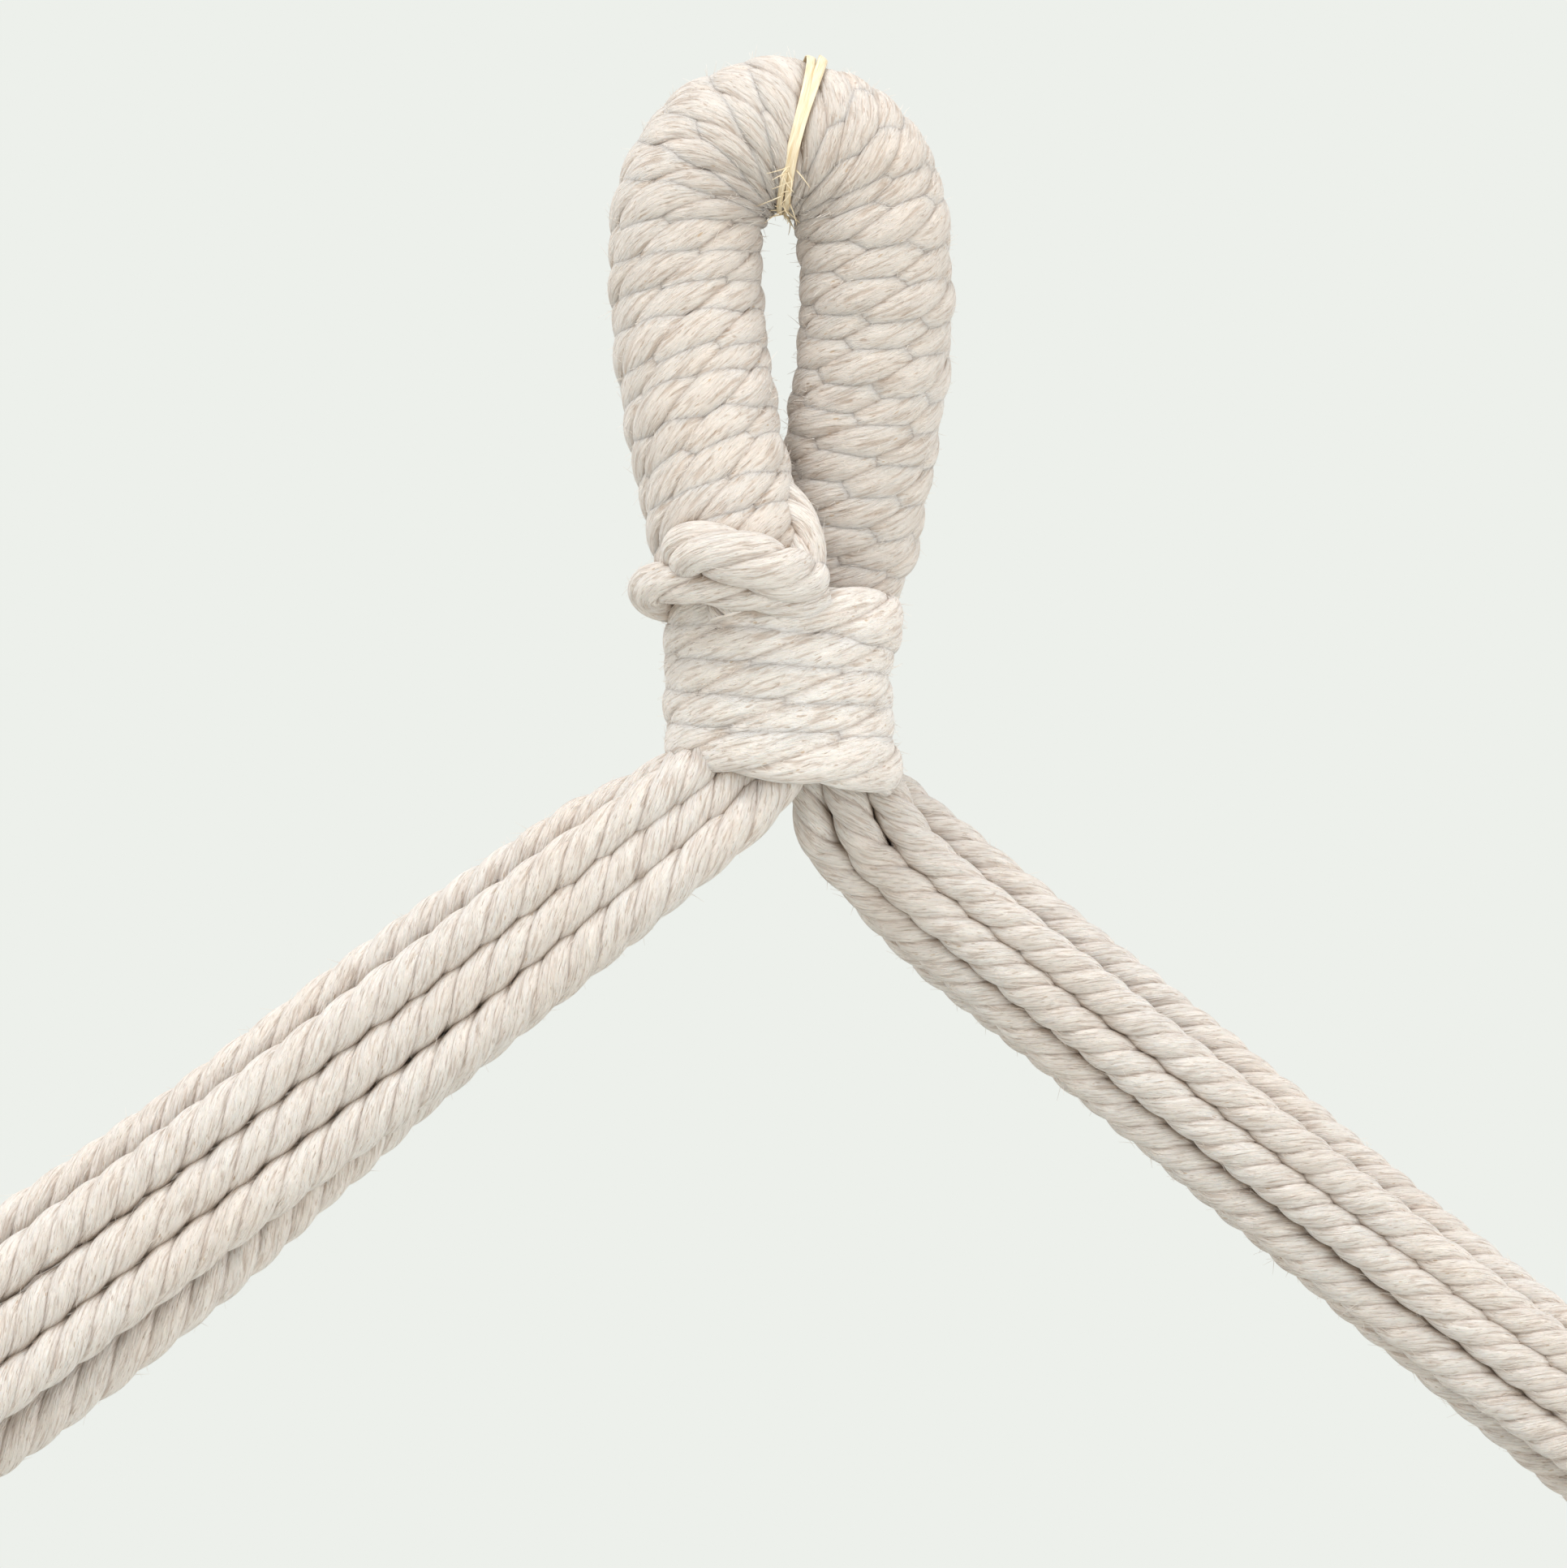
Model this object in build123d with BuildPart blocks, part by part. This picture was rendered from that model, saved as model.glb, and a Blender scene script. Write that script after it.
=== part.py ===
"""Hanging macrame planter: a wrapped cotton hanger with two bundles of cord that carry a round bowl.

Millimetres, +Z up. The origin is the crown of the hanging eye, where a hook bears, and -Y is the front.
The cords run from the neck over the bowl's rim to two rows of knots, a bottom gather and a tassel.
"""

from build123d import *
from math import cos, pi, radians, sin, sqrt, tan
import os

os.makedirs("parts", exist_ok=True)

# Cord
cord_diameter = 5.6  # a 6 mm three-strand cotton cord, pulled tight
cord_radius = cord_diameter / 2
contact_gap = 0.1  # between soft pieces that lie against each other
bowl_gap = 0.4  # between the cords and the bowl, which turns in them

# Hanging eye
arch_radius = 11.1  # of the centre line round the crown
arch_x = 0.3
core_radius = 5.6  # the folded cords, drawn together under the wrap
loop_wrap_thickness = 4.0
tie_lean = 12.0  # degrees from the crown to the meeting of the two wraps
tie_width = 1.6
tie_thickness = 0.7
tie_gap = 0.3

# Neck
neck_x = 0.2
neck_half_width = 14.5
neck_half_depth = 13.5
neck_wrap_thickness = 4.2
neck_top = -46.0
neck_bottom = -67.5

# Knot that ends the leg's wrap, and the bight of its tail
knot_cord_radius = 3.4
knot_height = -42.4
bight_cord_radius = 2.1

# Roots: the six cords of a side, leaving the neck as one bundle
root_length = 34.0

# Bowl
bowl_radius = 150.0
bowl_wall = 5.0
bowl_mouth_z = -185.0
rim_bead_radius = 5.0

# Net knots
knot_half_length = 9.0
knot_crown = 1.8  # that a knot is thicker at its middle than at its ends
port_depth = 2.0  # that a cord's route runs into its knot, where the knot's own face trims it
port_sink = 2.4  # of the cords towards the bowl, from a knot's axis
upper_latitude = 29.0  # degrees below the rim
lower_latitude = 56.0
upper_azimuths = [-35, 0, 35, 145, 180, 215]
lower_azimuths = [17.5, 90, 162.5, 197.5, 270, 342.5]

# Bottom gather and tassel
gather_drop = 17.0  # from the bowl's underside to the top of the gather
gather_length = 28.0
gather_wrap_thickness = 4.0
gather_spacing = 6.07  # of the twelve cords round the ring that they stand in
tassel_length = 96.0
tassel_flare = 7.5
tassel_gap = 0.4  # under the gather, because the cords leave it at a slant

loop_radius = core_radius + loop_wrap_thickness  # outside of the wrap on each leg
root_half_height = 3 * cord_radius + contact_gap  # three cords stand over each other, and two side by side
root_half_depth = cord_diameter
port_spread = cord_radius + 0.6  # from a knot's axis to each of its two cords
knot_end_radius = port_spread + cord_radius + 0.4
knot_mid_radius = knot_end_radius + knot_crown
gather_ring = 12 * gather_spacing / (2 * pi)
gather_core_radius = gather_ring + cord_radius + 0.2
gather_wrap_radius = gather_core_radius + gather_wrap_thickness
gather_top = bowl_mouth_z - bowl_radius - gather_drop
lane_radius = bowl_radius + bowl_gap + cord_radius  # centre line of a cord that lies on the bowl
rim_arc = rim_bead_radius + bowl_gap + cord_radius  # the same, over the rim
knot_lane = bowl_radius + bowl_gap + knot_mid_radius


def save(piece, name):
    """Label a finished piece and write its file."""
    piece.part.label = name
    export_step(piece.part, f"parts/{name}.step")


def corner_radii(points, tight=None):
    """Arc for each corner, as large as its runs allow; tight gives a corner's number and its largest arc."""
    radii = []
    for number in range(1, len(points) - 1):
        run_in = Vector(*points[number]) - Vector(*points[number - 1])
        run_out = Vector(*points[number + 1]) - Vector(*points[number])
        half_turn = radians(run_in.get_angle(run_out) / 2)
        radius = 0.45 * min(run_in.length, run_out.length) / tan(half_turn)
        if tight and number in tight:
            radius = tight[number]
        radii.append(radius)
    return radii


def add_tube(route, radius):
    """Sweep a round section along a route into the part being built."""
    with BuildSketch(Plane(origin=route @ 0, z_dir=route % 0)) as section:
        Circle(radius)
    sweep(sections=section.sketch, path=route)


def report(name, piece, route, radii, radius):
    """Print a cord's length, its arcs and how its volume compares with section times length."""
    ratio = piece.part.volume / (pi * radius**2 * route.length)
    arcs = " ".join(f"{value:.0f}" for value in radii)
    print(f"{name}: length {route.length:.1f}, arcs {arcs}, volume ratio {ratio:.4f}")


# ---- hanging eye ----------------------------------------------------------------------------------

arch_z = loop_radius - arch_radius  # height of the arch's centre, so that the eye's crown is at zero
lean = radians(tie_lean)
tie_x = arch_x + arch_radius * sin(lean)
tie_z = arch_z + arch_radius * cos(lean)
left_reach = arch_radius * tan(radians(90 + tie_lean) / 2)
right_reach = arch_radius * tan(radians(90 - tie_lean) / 2)
tie_point = (tie_x, 0, tie_z)
left_shoulder = (arch_x - arch_radius, 0, tie_z + left_reach * sin(lean))
right_shoulder = (arch_x + arch_radius, 0, tie_z - right_reach * sin(lean))
shoulder_arc = arch_radius - 0.1  # leaves a short straight between the two shoulders

left_leg = [(-3.9, -8.8, -50), (-8.6, -4.6, -29.5), (-11.4, -1.2, -13.5)]
right_leg = [(12.3, 1.2, -13.0), (10.2, 4.6, -29.5), (5.8, 8.8, -50)]
neck_cut = Plane.XY.offset(neck_top)


def leg_route(points, shoulder):
    """Centre line of one leg, or of the whole loop, with its shoulders rounded to the arch."""
    with BuildLine() as line:
        FilletPolyline(*points, radius=corner_radii(points, {number: shoulder_arc for number in shoulder}))
    return line.wire()


core_route = leg_route([*left_leg, left_shoulder, right_shoulder, *right_leg], [3, 4])
left_route = leg_route([*left_leg, left_shoulder, tie_point], [3])
right_route = leg_route([tie_point, right_shoulder, *right_leg], [1])

with BuildPart() as loop_core:
    add_tube(core_route, core_radius)
    split(bisect_by=neck_cut, keep=Keep.TOP)
save(loop_core, "loop_core")

for wrap_name, wrap_route in {"loop_wrap_left": left_route, "loop_wrap_right": right_route}.items():
    with BuildPart() as loop_wrap:
        with BuildSketch(Plane(origin=wrap_route @ 0, z_dir=wrap_route % 0)):
            Circle(loop_radius)
            Circle(core_radius + contact_gap, mode=Mode.SUBTRACT)
        sweep(path=wrap_route)
        split(bisect_by=neck_cut, keep=Keep.TOP)
    save(loop_wrap, wrap_name)

tie_plane = Plane(origin=tie_point, x_dir=(cos(lean), 0, -sin(lean)), z_dir=(0, 1, 0))
with BuildPart() as raffia_tie:
    with BuildSketch(tie_plane):
        with Locations((0, loop_radius + tie_gap + tie_thickness / 2)):
            Rectangle(tie_width, tie_thickness)
    revolve(axis=Axis(tie_point, tie_plane.x_dir))
save(raffia_tie, "raffia_tie")

# ---- neck -----------------------------------------------------------------------------------------

neck_height = neck_top - neck_bottom
inner_half_width = neck_half_width - neck_wrap_thickness
inner_half_depth = neck_half_depth - neck_wrap_thickness

with BuildPart() as neck_core:
    with BuildSketch(Plane.XY.offset(neck_bottom)):
        with Locations((neck_x, 0)):
            Ellipse(inner_half_width - contact_gap, inner_half_depth - contact_gap)
    extrude(amount=neck_height - contact_gap)
save(neck_core, "neck_core")

with BuildPart() as neck_wrap:
    with BuildSketch(Plane.XY.offset(neck_bottom)):
        with Locations((neck_x, 0)):
            Ellipse(neck_half_width, neck_half_depth)
            Ellipse(inner_half_width, inner_half_depth, mode=Mode.SUBTRACT)
    extrude(amount=neck_height - contact_gap)
save(neck_wrap, "neck_wrap")

# The finishing knot lies round the front of the left leg, just above the neck.
knot_centre = (-5.5, -7.3, knot_height)
knot_reach = loop_radius + 0.3 + knot_cord_radius
with BuildLine(Plane(origin=knot_centre)) as knot_line:
    CenterArc((0, 0), knot_reach, 245, 75)
with BuildPart() as finishing_knot:
    add_tube(knot_line.wire(), knot_cord_radius)
save(finishing_knot, "finishing_knot")

bight_points = [(-15.4, -15.0, -43.4), (-17.6, -11.2, -46.6), (-15.9, -6.6, -50.4)]
with BuildLine() as bight_line:
    FilletPolyline(*bight_points, radius=corner_radii(bight_points))
with BuildPart() as tail_bight:
    add_tube(bight_line.wire(), bight_cord_radius)
save(tail_bight, "tail_bight")

# ---- bundle roots ---------------------------------------------------------------------------------

root_cut = Plane.XY.offset(neck_bottom - contact_gap)


def add_root(end_point, direction):
    """The six cords of one side as one oblique stub, from the neck's underside to where they part."""
    with BuildSketch(Plane(origin=end_point, x_dir=(0, 1, 0), z_dir=direction)) as section:
        Ellipse(root_half_depth, root_half_height)
    extrude(section.sketch, amount=-root_length)
    split(bisect_by=root_cut, keep=Keep.BOTTOM)


with BuildPart() as left_root:
    add_root((-17.6, -5.6, -81.0), (-0.8, 0, -0.6))
save(left_root, "left_root")

with BuildPart() as right_root:
    add_root((19.3, 5.8, -85.0), (0.8, 0, -0.6))
save(right_root, "right_root")

# ---- cords from the roots over the rim to the upper knots ----------------------------------------------


def bowl_point(azimuth, latitude, reach):
    """Point at a reach from the bowl's centre, at a latitude in degrees below its mouth."""
    ring = reach * cos(radians(latitude))
    depth = reach * sin(radians(latitude))
    return (ring * cos(radians(azimuth)), ring * sin(radians(azimuth)), bowl_mouth_z - depth)


def knot_plane(azimuth, latitude):
    """Plane at a knot's centre: X down the bowl, Y round it, and Z out from it."""
    out = Vector(*bowl_point(azimuth, latitude, 1)) - Vector(0, 0, bowl_mouth_z)
    around = Vector(-sin(radians(azimuth)), cos(radians(azimuth)), 0)
    return Plane(origin=bowl_point(azimuth, latitude, knot_lane), x_dir=around.cross(out), z_dir=out)


def knot_port(azimuth, latitude, down, along):
    """Where a cord meets a knot: down is 1 below it and -1 above, along is 1 or -1 round the bowl."""
    place = knot_plane(azimuth, latitude)
    reach = knot_half_length - port_depth
    port = place.from_local_coords(Vector(down * reach, along * port_spread, -port_sink))
    return (port.X, port.Y, port.Z)


def knot_solid(azimuth, latitude, growth):
    """A drawn-up knot: a barrel lying down the bowl's side, grown all over by a little where it trims a cord."""
    place = knot_plane(azimuth, latitude)
    end = knot_half_length + growth
    end_radius = knot_end_radius + growth
    with BuildPart() as barrel:
        with BuildSketch(Plane(origin=place.origin, x_dir=place.x_dir, z_dir=-place.y_dir)):
            with BuildLine():
                ThreePointArc((-end, end_radius), (0, knot_mid_radius + growth), (end, end_radius))
                Polyline((end, end_radius), (end, 0), (-end, 0), (-end, end_radius))
            make_face()
        revolve(axis=Axis(place.origin, place.x_dir))
    return barrel.part


def rim_point(side, y, height):
    """Corner of a cord's route over the rim, at a height above the bowl's mouth."""
    return (side * sqrt(lane_radius**2 - y**2), y, bowl_mouth_z + height)


# Each entry: hand-laid points of the bundle, y and height of the corner over the rim,
# two azimuths past the rim, and the upper knot's azimuth with the side of it that the cord takes.
left_cords = [
    ([(-21.6, -2.7, -76.8), (-38, -0.5, -87.0), (-67, 1.4, -107.4), (-106, 2.8, -134.4)], 6, 4.5, (178.0, 178.4), 180, -1),
    ([(-21.6, -8.5, -76.8), (-38, -6.4, -88.4), (-67, -4.5, -110.2), (-106, -2.8, -138.6)], -6, 4.3, (182.0, 181.6), 180, 1),
    ([(-18.1, -2.7, -81.4), (-38, -0.5, -96.4), (-67, 1.4, -118.4), (-106, 4.6, -148.0)], 20, 5.0, (163, 152.5), 145, 1),
    ([(-18.1, -8.5, -81.4), (-38, -6.4, -95.9), (-67, -4.5, -117.4), (-106, -4.8, -146.2)], -20, 5.0, (197, 207.5), 215, -1),
    ([(-14.6, -2.7, -86.0), (-38, -0.5, -104.6), (-67, 1.6, -129.3), (-106, 5.2, -160.8)], 34, 5.9, (158, 148), 145, -1),
    ([(-14.6, -8.5, -86.0), (-38, -6.4, -103.4), (-67, -4.5, -124.7), (-106, -5.4, -153.8)], -34, 5.6, (202, 212), 215, 1),
]
right_cords = [
    ([(23.3, 8.7, -80.8), (38, 7.0, -91.4), (67, 4.9, -113.6), (106, 2.9, -142.6)], 6, 4.5, (2.0, 1.6), 0, 1),
    ([(23.3, 2.9, -80.8), (38, 1.1, -92.9), (67, -1.0, -116.0), (106, -2.6, -145.6)], -6, 4.5, (-2.0, -1.6), 0, -1),
    ([(19.8, 8.7, -85.4), (38, 7.0, -99.4), (67, 4.9, -123.4), (106, 4.8, -153.2)], 20, 5.2, (17, 27.5), 35, -1),
    ([(19.8, 2.9, -85.4), (38, 1.1, -100.6), (67, -1.0, -123.8), (106, -4.8, -153.2)], -20, 5.2, (-17, -27.5), -35, 1),
    ([(16.3, 8.7, -90.0), (38, 7.0, -108.8), (67, 4.9, -133.2), (106, 5.4, -163.4)], 34, 6.0, (22, 32), 35, 1),
    ([(16.3, 2.9, -90.0), (38, 1.1, -108.4), (67, -1.0, -131.6), (106, -5.4, -160.6)], -34, 6.0, (-22, -32), -35, -1),
]
past_rim_stations = [(8.0, 2.0), (17.5, 1.7)]  # latitude and lift of the two points between the rim and a knot

for side, side_name, cords in [(-1, "left", left_cords), (1, "right", right_cords)]:
    for number, (bundle, rim_y, rim_height, past_rim, knot_azimuth, along) in enumerate(cords, 1):
        points = [
            *bundle,
            rim_point(side, rim_y, rim_height),
            *[
                bowl_point(azimuth, latitude, lane_radius + lift)
                for azimuth, (latitude, lift) in zip(past_rim, past_rim_stations)
            ],
            knot_port(knot_azimuth, upper_latitude, -1, along),
        ]
        cord_arcs = corner_radii(points, {4: rim_arc})
        with BuildLine() as cord_line:
            FilletPolyline(*points, radius=cord_arcs)
        with BuildPart() as cord:
            add_tube(cord_line.wire(), cord_radius)
            add(knot_solid(knot_azimuth, upper_latitude, contact_gap), mode=Mode.SUBTRACT)
        save(cord, f"{side_name}_cord_{number}")
        report(f"{side_name}_cord_{number}", cord, cord_line.wire(), cord_arcs, cord_radius)

# ---- knots --------------------------------------------------------------------------------------------

for row, latitude, azimuths in [("upper", upper_latitude, upper_azimuths), ("lower", lower_latitude, lower_azimuths)]:
    for number, azimuth in enumerate(azimuths, 1):
        with BuildPart() as net_knot:
            add(knot_solid(azimuth, latitude, 0))
        save(net_knot, f"{row}_knot_{number}")

# ---- net between the two rows of knots --------------------------------------------------------------------

# Each upper knot sends one cord each way round the bowl to the next lower knot.
net_legs = [
    (-35, 342.5), (-35, 270), (0, 17.5), (0, 342.5), (35, 90), (35, 17.5),
    (145, 162.5), (145, 90), (180, 197.5), (180, 162.5), (215, 270), (215, 197.5),
]


def way_round(start, end):
    """Signed angle in degrees from one azimuth to another, the short way."""
    return (end - start + 180) % 360 - 180


def net_route(start_azimuth, end_azimuth):
    """Arc over the bowl from under an upper knot to the top of a lower knot."""
    turn = way_round(start_azimuth, end_azimuth)
    along = 1 if turn > 0 else -1
    start = Vector(*knot_port(start_azimuth, upper_latitude, 1, along))
    end = Vector(*knot_port(end_azimuth, lower_latitude, -1, -along))
    centre = Vector(0, 0, bowl_mouth_z)
    middle = centre + ((start + end) / 2 - centre).normalized() * (lane_radius + 0.2)
    with BuildLine() as line:
        ThreePointArc(start, middle, end)
    return line.wire()


for half, legs in {"right": net_legs[:6], "left": net_legs[6:]}.items():
    with BuildPart() as net_half:
        for start_azimuth, end_azimuth in legs:
            add_tube(net_route(start_azimuth, end_azimuth), cord_radius)
        for start_azimuth, end_azimuth in legs:
            add(knot_solid(start_azimuth, upper_latitude, contact_gap), mode=Mode.SUBTRACT)
            add(knot_solid(end_azimuth, lower_latitude, contact_gap), mode=Mode.SUBTRACT)
    save(net_half, f"net_cords_{half}")

# ---- cords under the bowl, gather and tassel -----------------------------------------------------------------


def ring_point(azimuth, ring, height):
    """Point at an azimuth on a level ring round the planter's axis."""
    return (ring * cos(radians(azimuth)), ring * sin(radians(azimuth)), height)


def under_points(number, azimuth, along):
    """Route from under a lower knot, along the bowl and down into the gather."""
    ring_azimuth = 30 + 60 * (number - 1) + 15 * along
    turn = way_round(azimuth, ring_azimuth)
    return [
        knot_port(azimuth, lower_latitude, 1, along),
        bowl_point(azimuth + turn * 0.25, 70, lane_radius + 0.8),
        bowl_point(azimuth + turn * 0.6, 79.5, lane_radius + 0.8),
        ring_point(ring_azimuth, gather_ring + 5.9, gather_top + 11.2),
        ring_point(ring_azimuth, gather_ring, gather_top - 2),
    ]


gather_cut = Plane.XY.offset(gather_top + contact_gap)


for number, azimuth in enumerate(lower_azimuths, 1):
    with BuildPart() as under_cords:
        for along in (-1, 1):
            points = under_points(number, azimuth, along)
            with BuildLine() as under_line:
                FilletPolyline(*points, radius=corner_radii(points))
            add_tube(under_line.wire(), cord_radius)
        add(knot_solid(azimuth, lower_latitude, contact_gap), mode=Mode.SUBTRACT)
        split(bisect_by=gather_cut, keep=Keep.TOP)
    save(under_cords, f"under_cords_{number}")

gather_bottom = gather_top - gather_length

with BuildPart() as gather_core:
    with BuildSketch(Plane.XY.offset(gather_bottom)):
        Circle(gather_core_radius)
    extrude(amount=gather_length)
save(gather_core, "gather_core")

with BuildPart() as gather_wrap:
    with BuildSketch(Plane.XY.offset(gather_bottom)):
        Circle(gather_wrap_radius)
        Circle(gather_core_radius + contact_gap, mode=Mode.SUBTRACT)
    extrude(amount=gather_length)
save(gather_wrap, "gather_wrap")

# Twelve cord ends hang from the gather in a ring that opens a little: shares of the flare and of the length.
tassel_shape = [(0, 0), (0.35, 0.34), (0.75, 0.68), (1, 1)]
tassel_top = gather_bottom - tassel_gap
for quarter in range(4):
    with BuildPart() as tassel_cords:
        for step in range(3):
            azimuth = 15 + 30 * (3 * quarter + step)
            points = [
                ring_point(azimuth, gather_ring + tassel_flare * flare, tassel_top - tassel_length * drop)
                for flare, drop in tassel_shape
            ]
            with BuildLine() as tassel_line:
                FilletPolyline(*points, radius=corner_radii(points))
            add_tube(tassel_line.wire(), cord_radius)
    save(tassel_cords, f"tassel_cords_{quarter + 1}")

# ---- bowl -----------------------------------------------------------------------------------------------------

inner_radius = bowl_radius - bowl_wall
bead_centre = (bowl_radius - rim_bead_radius, bowl_mouth_z)
with BuildPart() as bowl:
    with BuildSketch(Plane.XZ):
        with BuildLine():
            CenterArc((0, bowl_mouth_z), bowl_radius, 270, 90)
            Line((bowl_radius, bowl_mouth_z), (inner_radius, bowl_mouth_z))
            CenterArc((0, bowl_mouth_z), inner_radius, 270, 90)
            Line((0, bowl_mouth_z - inner_radius), (0, bowl_mouth_z - bowl_radius))
        make_face()
        with Locations(bead_centre):
            Circle(rim_bead_radius)
    revolve(axis=Axis.Z)
save(bowl, "bowl")
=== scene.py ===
"""Looks of the hanging macrame planter: twisted cotton cord, close wrapping, raffia and earthenware.

Routes and sizes are in millimetres, and every mesh is written in metres in the frame of the CAD model:
+Z up, -Y to the front, and the origin at the crown of the hanging eye.
"""

import logging
import math
from dataclasses import dataclass, field
from enum import Enum

import bpy
import numpy as np
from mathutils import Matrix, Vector


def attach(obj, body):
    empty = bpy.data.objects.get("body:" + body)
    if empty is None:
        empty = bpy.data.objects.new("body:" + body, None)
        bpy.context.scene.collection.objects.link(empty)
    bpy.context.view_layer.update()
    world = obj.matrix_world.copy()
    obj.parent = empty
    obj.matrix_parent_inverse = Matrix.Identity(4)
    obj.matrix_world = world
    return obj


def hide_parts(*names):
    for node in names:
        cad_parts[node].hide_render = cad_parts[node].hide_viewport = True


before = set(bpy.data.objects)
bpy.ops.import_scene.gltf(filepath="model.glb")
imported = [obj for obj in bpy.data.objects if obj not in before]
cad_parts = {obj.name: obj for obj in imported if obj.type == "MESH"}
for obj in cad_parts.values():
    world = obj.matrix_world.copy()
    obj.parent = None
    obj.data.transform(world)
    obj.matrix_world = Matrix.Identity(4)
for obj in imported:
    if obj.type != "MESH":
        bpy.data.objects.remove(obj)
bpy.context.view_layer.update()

log = logging.getLogger("planter")
MM = 0.001
HANGER = "hanger"
Point = tuple[float, float, float]
Colour = tuple[float, float, float, float]
Socket = bpy.types.NodeSocket
FRONT = (0, -1, 0)
DOWN = [0, 0, -1.0]
SEED_SHIFT = 3.71
STRAND_SHIFT = 11.3
RIBBON_SHIFT = 5.3
RIBBON_FACETS = 12


class Hand(Enum):
    """Which way a helix turns as it runs away from the eye."""

    LEFT = -1
    RIGHT = 1


# ---- lines ----------------------------------------------------------------------------------------


def unit(vectors: np.ndarray) -> np.ndarray:
    """Rows scaled to length one."""
    return vectors / np.maximum(np.linalg.norm(vectors, axis=-1, keepdims=True), 1e-12)


def square_to(along: np.ndarray, normals: np.ndarray) -> np.ndarray:
    """Unit normals, leant until they stand square to the directions along a line."""
    return unit(normals - along * (normals * along).sum(1, keepdims=True))


def travelled(points: np.ndarray) -> np.ndarray:
    """Distance of each point along its line, from the start."""
    return np.concatenate([[0], np.cumsum(np.linalg.norm(np.diff(points, axis=0), axis=1))])


def length_of(points: np.ndarray) -> float:
    """Length of a line, in its own units."""
    return float(np.linalg.norm(np.diff(points, axis=0), axis=1).sum())


def rising(values: np.ndarray, span: float) -> np.ndarray:
    """Share from 0 to 1, for values from 0 to the span."""
    return np.clip(values / span, 0, 1)


def bell(values: np.ndarray, width: float) -> np.ndarray:
    """Height of a bell curve of that width, 1 where the value is 0."""
    return np.exp(-((values / width) ** 2))


def on_ring(radius: float, azimuth: float, height: float) -> Point:
    """Point at an azimuth in degrees on a level ring round the planter's axis."""
    turn = math.radians(azimuth)
    return (radius * math.cos(turn), radius * math.sin(turn), height)


def spaced(points: np.ndarray, step: float) -> np.ndarray:
    """Points resampled at even steps along their line.

    Args:
        points: The line, one point a row, in millimetres.
        step: Greatest distance between neighbours, in millimetres.

    Returns:
        The new points, with the same ends.
    """
    runs = np.linalg.norm(np.diff(points, axis=0), axis=1)
    points = points[np.concatenate([[True], runs > 1e-9])]
    along = travelled(points)
    places = np.linspace(0, along[-1], max(int(math.ceil(along[-1] / step)), 2) + 1)
    return np.stack([np.interp(places, along, points[:, axis]) for axis in range(3)], axis=1)


def evenly(path: np.ndarray, step: float, *beside: np.ndarray) -> list[np.ndarray]:
    """A line and the values beside it, read again at even steps along the line.

    Args:
        path: The line, one point a row.
        step: Distance between the points returned.
        *beside: Arrays with one row or one value for each point of the line.

    Returns:
        The line and those arrays, at the new points.
    """
    runs = travelled(path)
    places = np.arange(0, runs[-1], step)
    columns = [values.reshape(len(path), -1) for values in (path, *beside)]
    even = [np.stack([np.interp(places, runs, column) for column in table.T], axis=1) for table in columns]
    return [table if table.shape[1] > 1 else table[:, 0] for table in even]


def spline_points(route: list[Point], step: float) -> np.ndarray:
    """Points of the smooth spline that has the route as its control points.

    Args:
        route: Control points in millimetres.
        step: Distance between the points returned, in millimetres.

    Returns:
        Points along the spline, in millimetres.
    """
    curve = bpy.data.curves.new("route", "CURVE")
    curve.dimensions = "3D"
    spline = curve.splines.new("NURBS")
    spline.points.add(len(route) - 1)
    for control, place in zip(spline.points, route):
        control.co = (*(value * MM for value in place), 1)
    spline.order_u = 3
    spline.use_endpoint_u = True
    spline.resolution_u = 32
    carrier = bpy.data.objects.new("route", curve)
    mesh = bpy.data.meshes.new_from_object(carrier)
    flat = np.empty(len(mesh.vertices) * 3)
    mesh.vertices.foreach_get("co", flat)
    bpy.data.meshes.remove(mesh)
    bpy.data.objects.remove(carrier)
    bpy.data.curves.remove(curve)
    return spaced(flat.reshape(-1, 3) / MM, step)


def tangents(points: np.ndarray) -> np.ndarray:
    """Unit direction of a line at each of its points."""
    return unit(np.gradient(points, axis=0))


def carried_normals(points: np.ndarray, first: Point = FRONT) -> np.ndarray:
    """Normals carried along a line without twisting.

    Args:
        points: The line.
        first: Direction that the first normal leans to.

    Returns:
        One unit normal for each point.
    """
    along = tangents(points)
    normals = np.empty_like(points)
    normal = np.array(first, float)
    for place, direction in enumerate(along):
        normal = normal - direction * normal.dot(direction)
        normal /= np.linalg.norm(normal)
        normals[place] = normal
    return normals


def wound(
    axis: np.ndarray, turns: np.ndarray, radius: np.ndarray | float, first: Point = FRONT
) -> np.ndarray:
    """Offsets from a line to another that is wound round it.

    Args:
        axis: The line in the middle.
        turns: Angle of the winding at each point of the axis, in radians.
        radius: Radius of the winding.
        first: Direction of angle zero at the start.

    Returns:
        Offsets to add to the axis.
    """
    normals = carried_normals(axis, first)
    sides = np.cross(tangents(axis), normals)
    radius = np.broadcast_to(radius, turns.shape)[:, None]
    return radius * (np.cos(turns)[:, None] * normals + np.sin(turns)[:, None] * sides)


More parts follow.
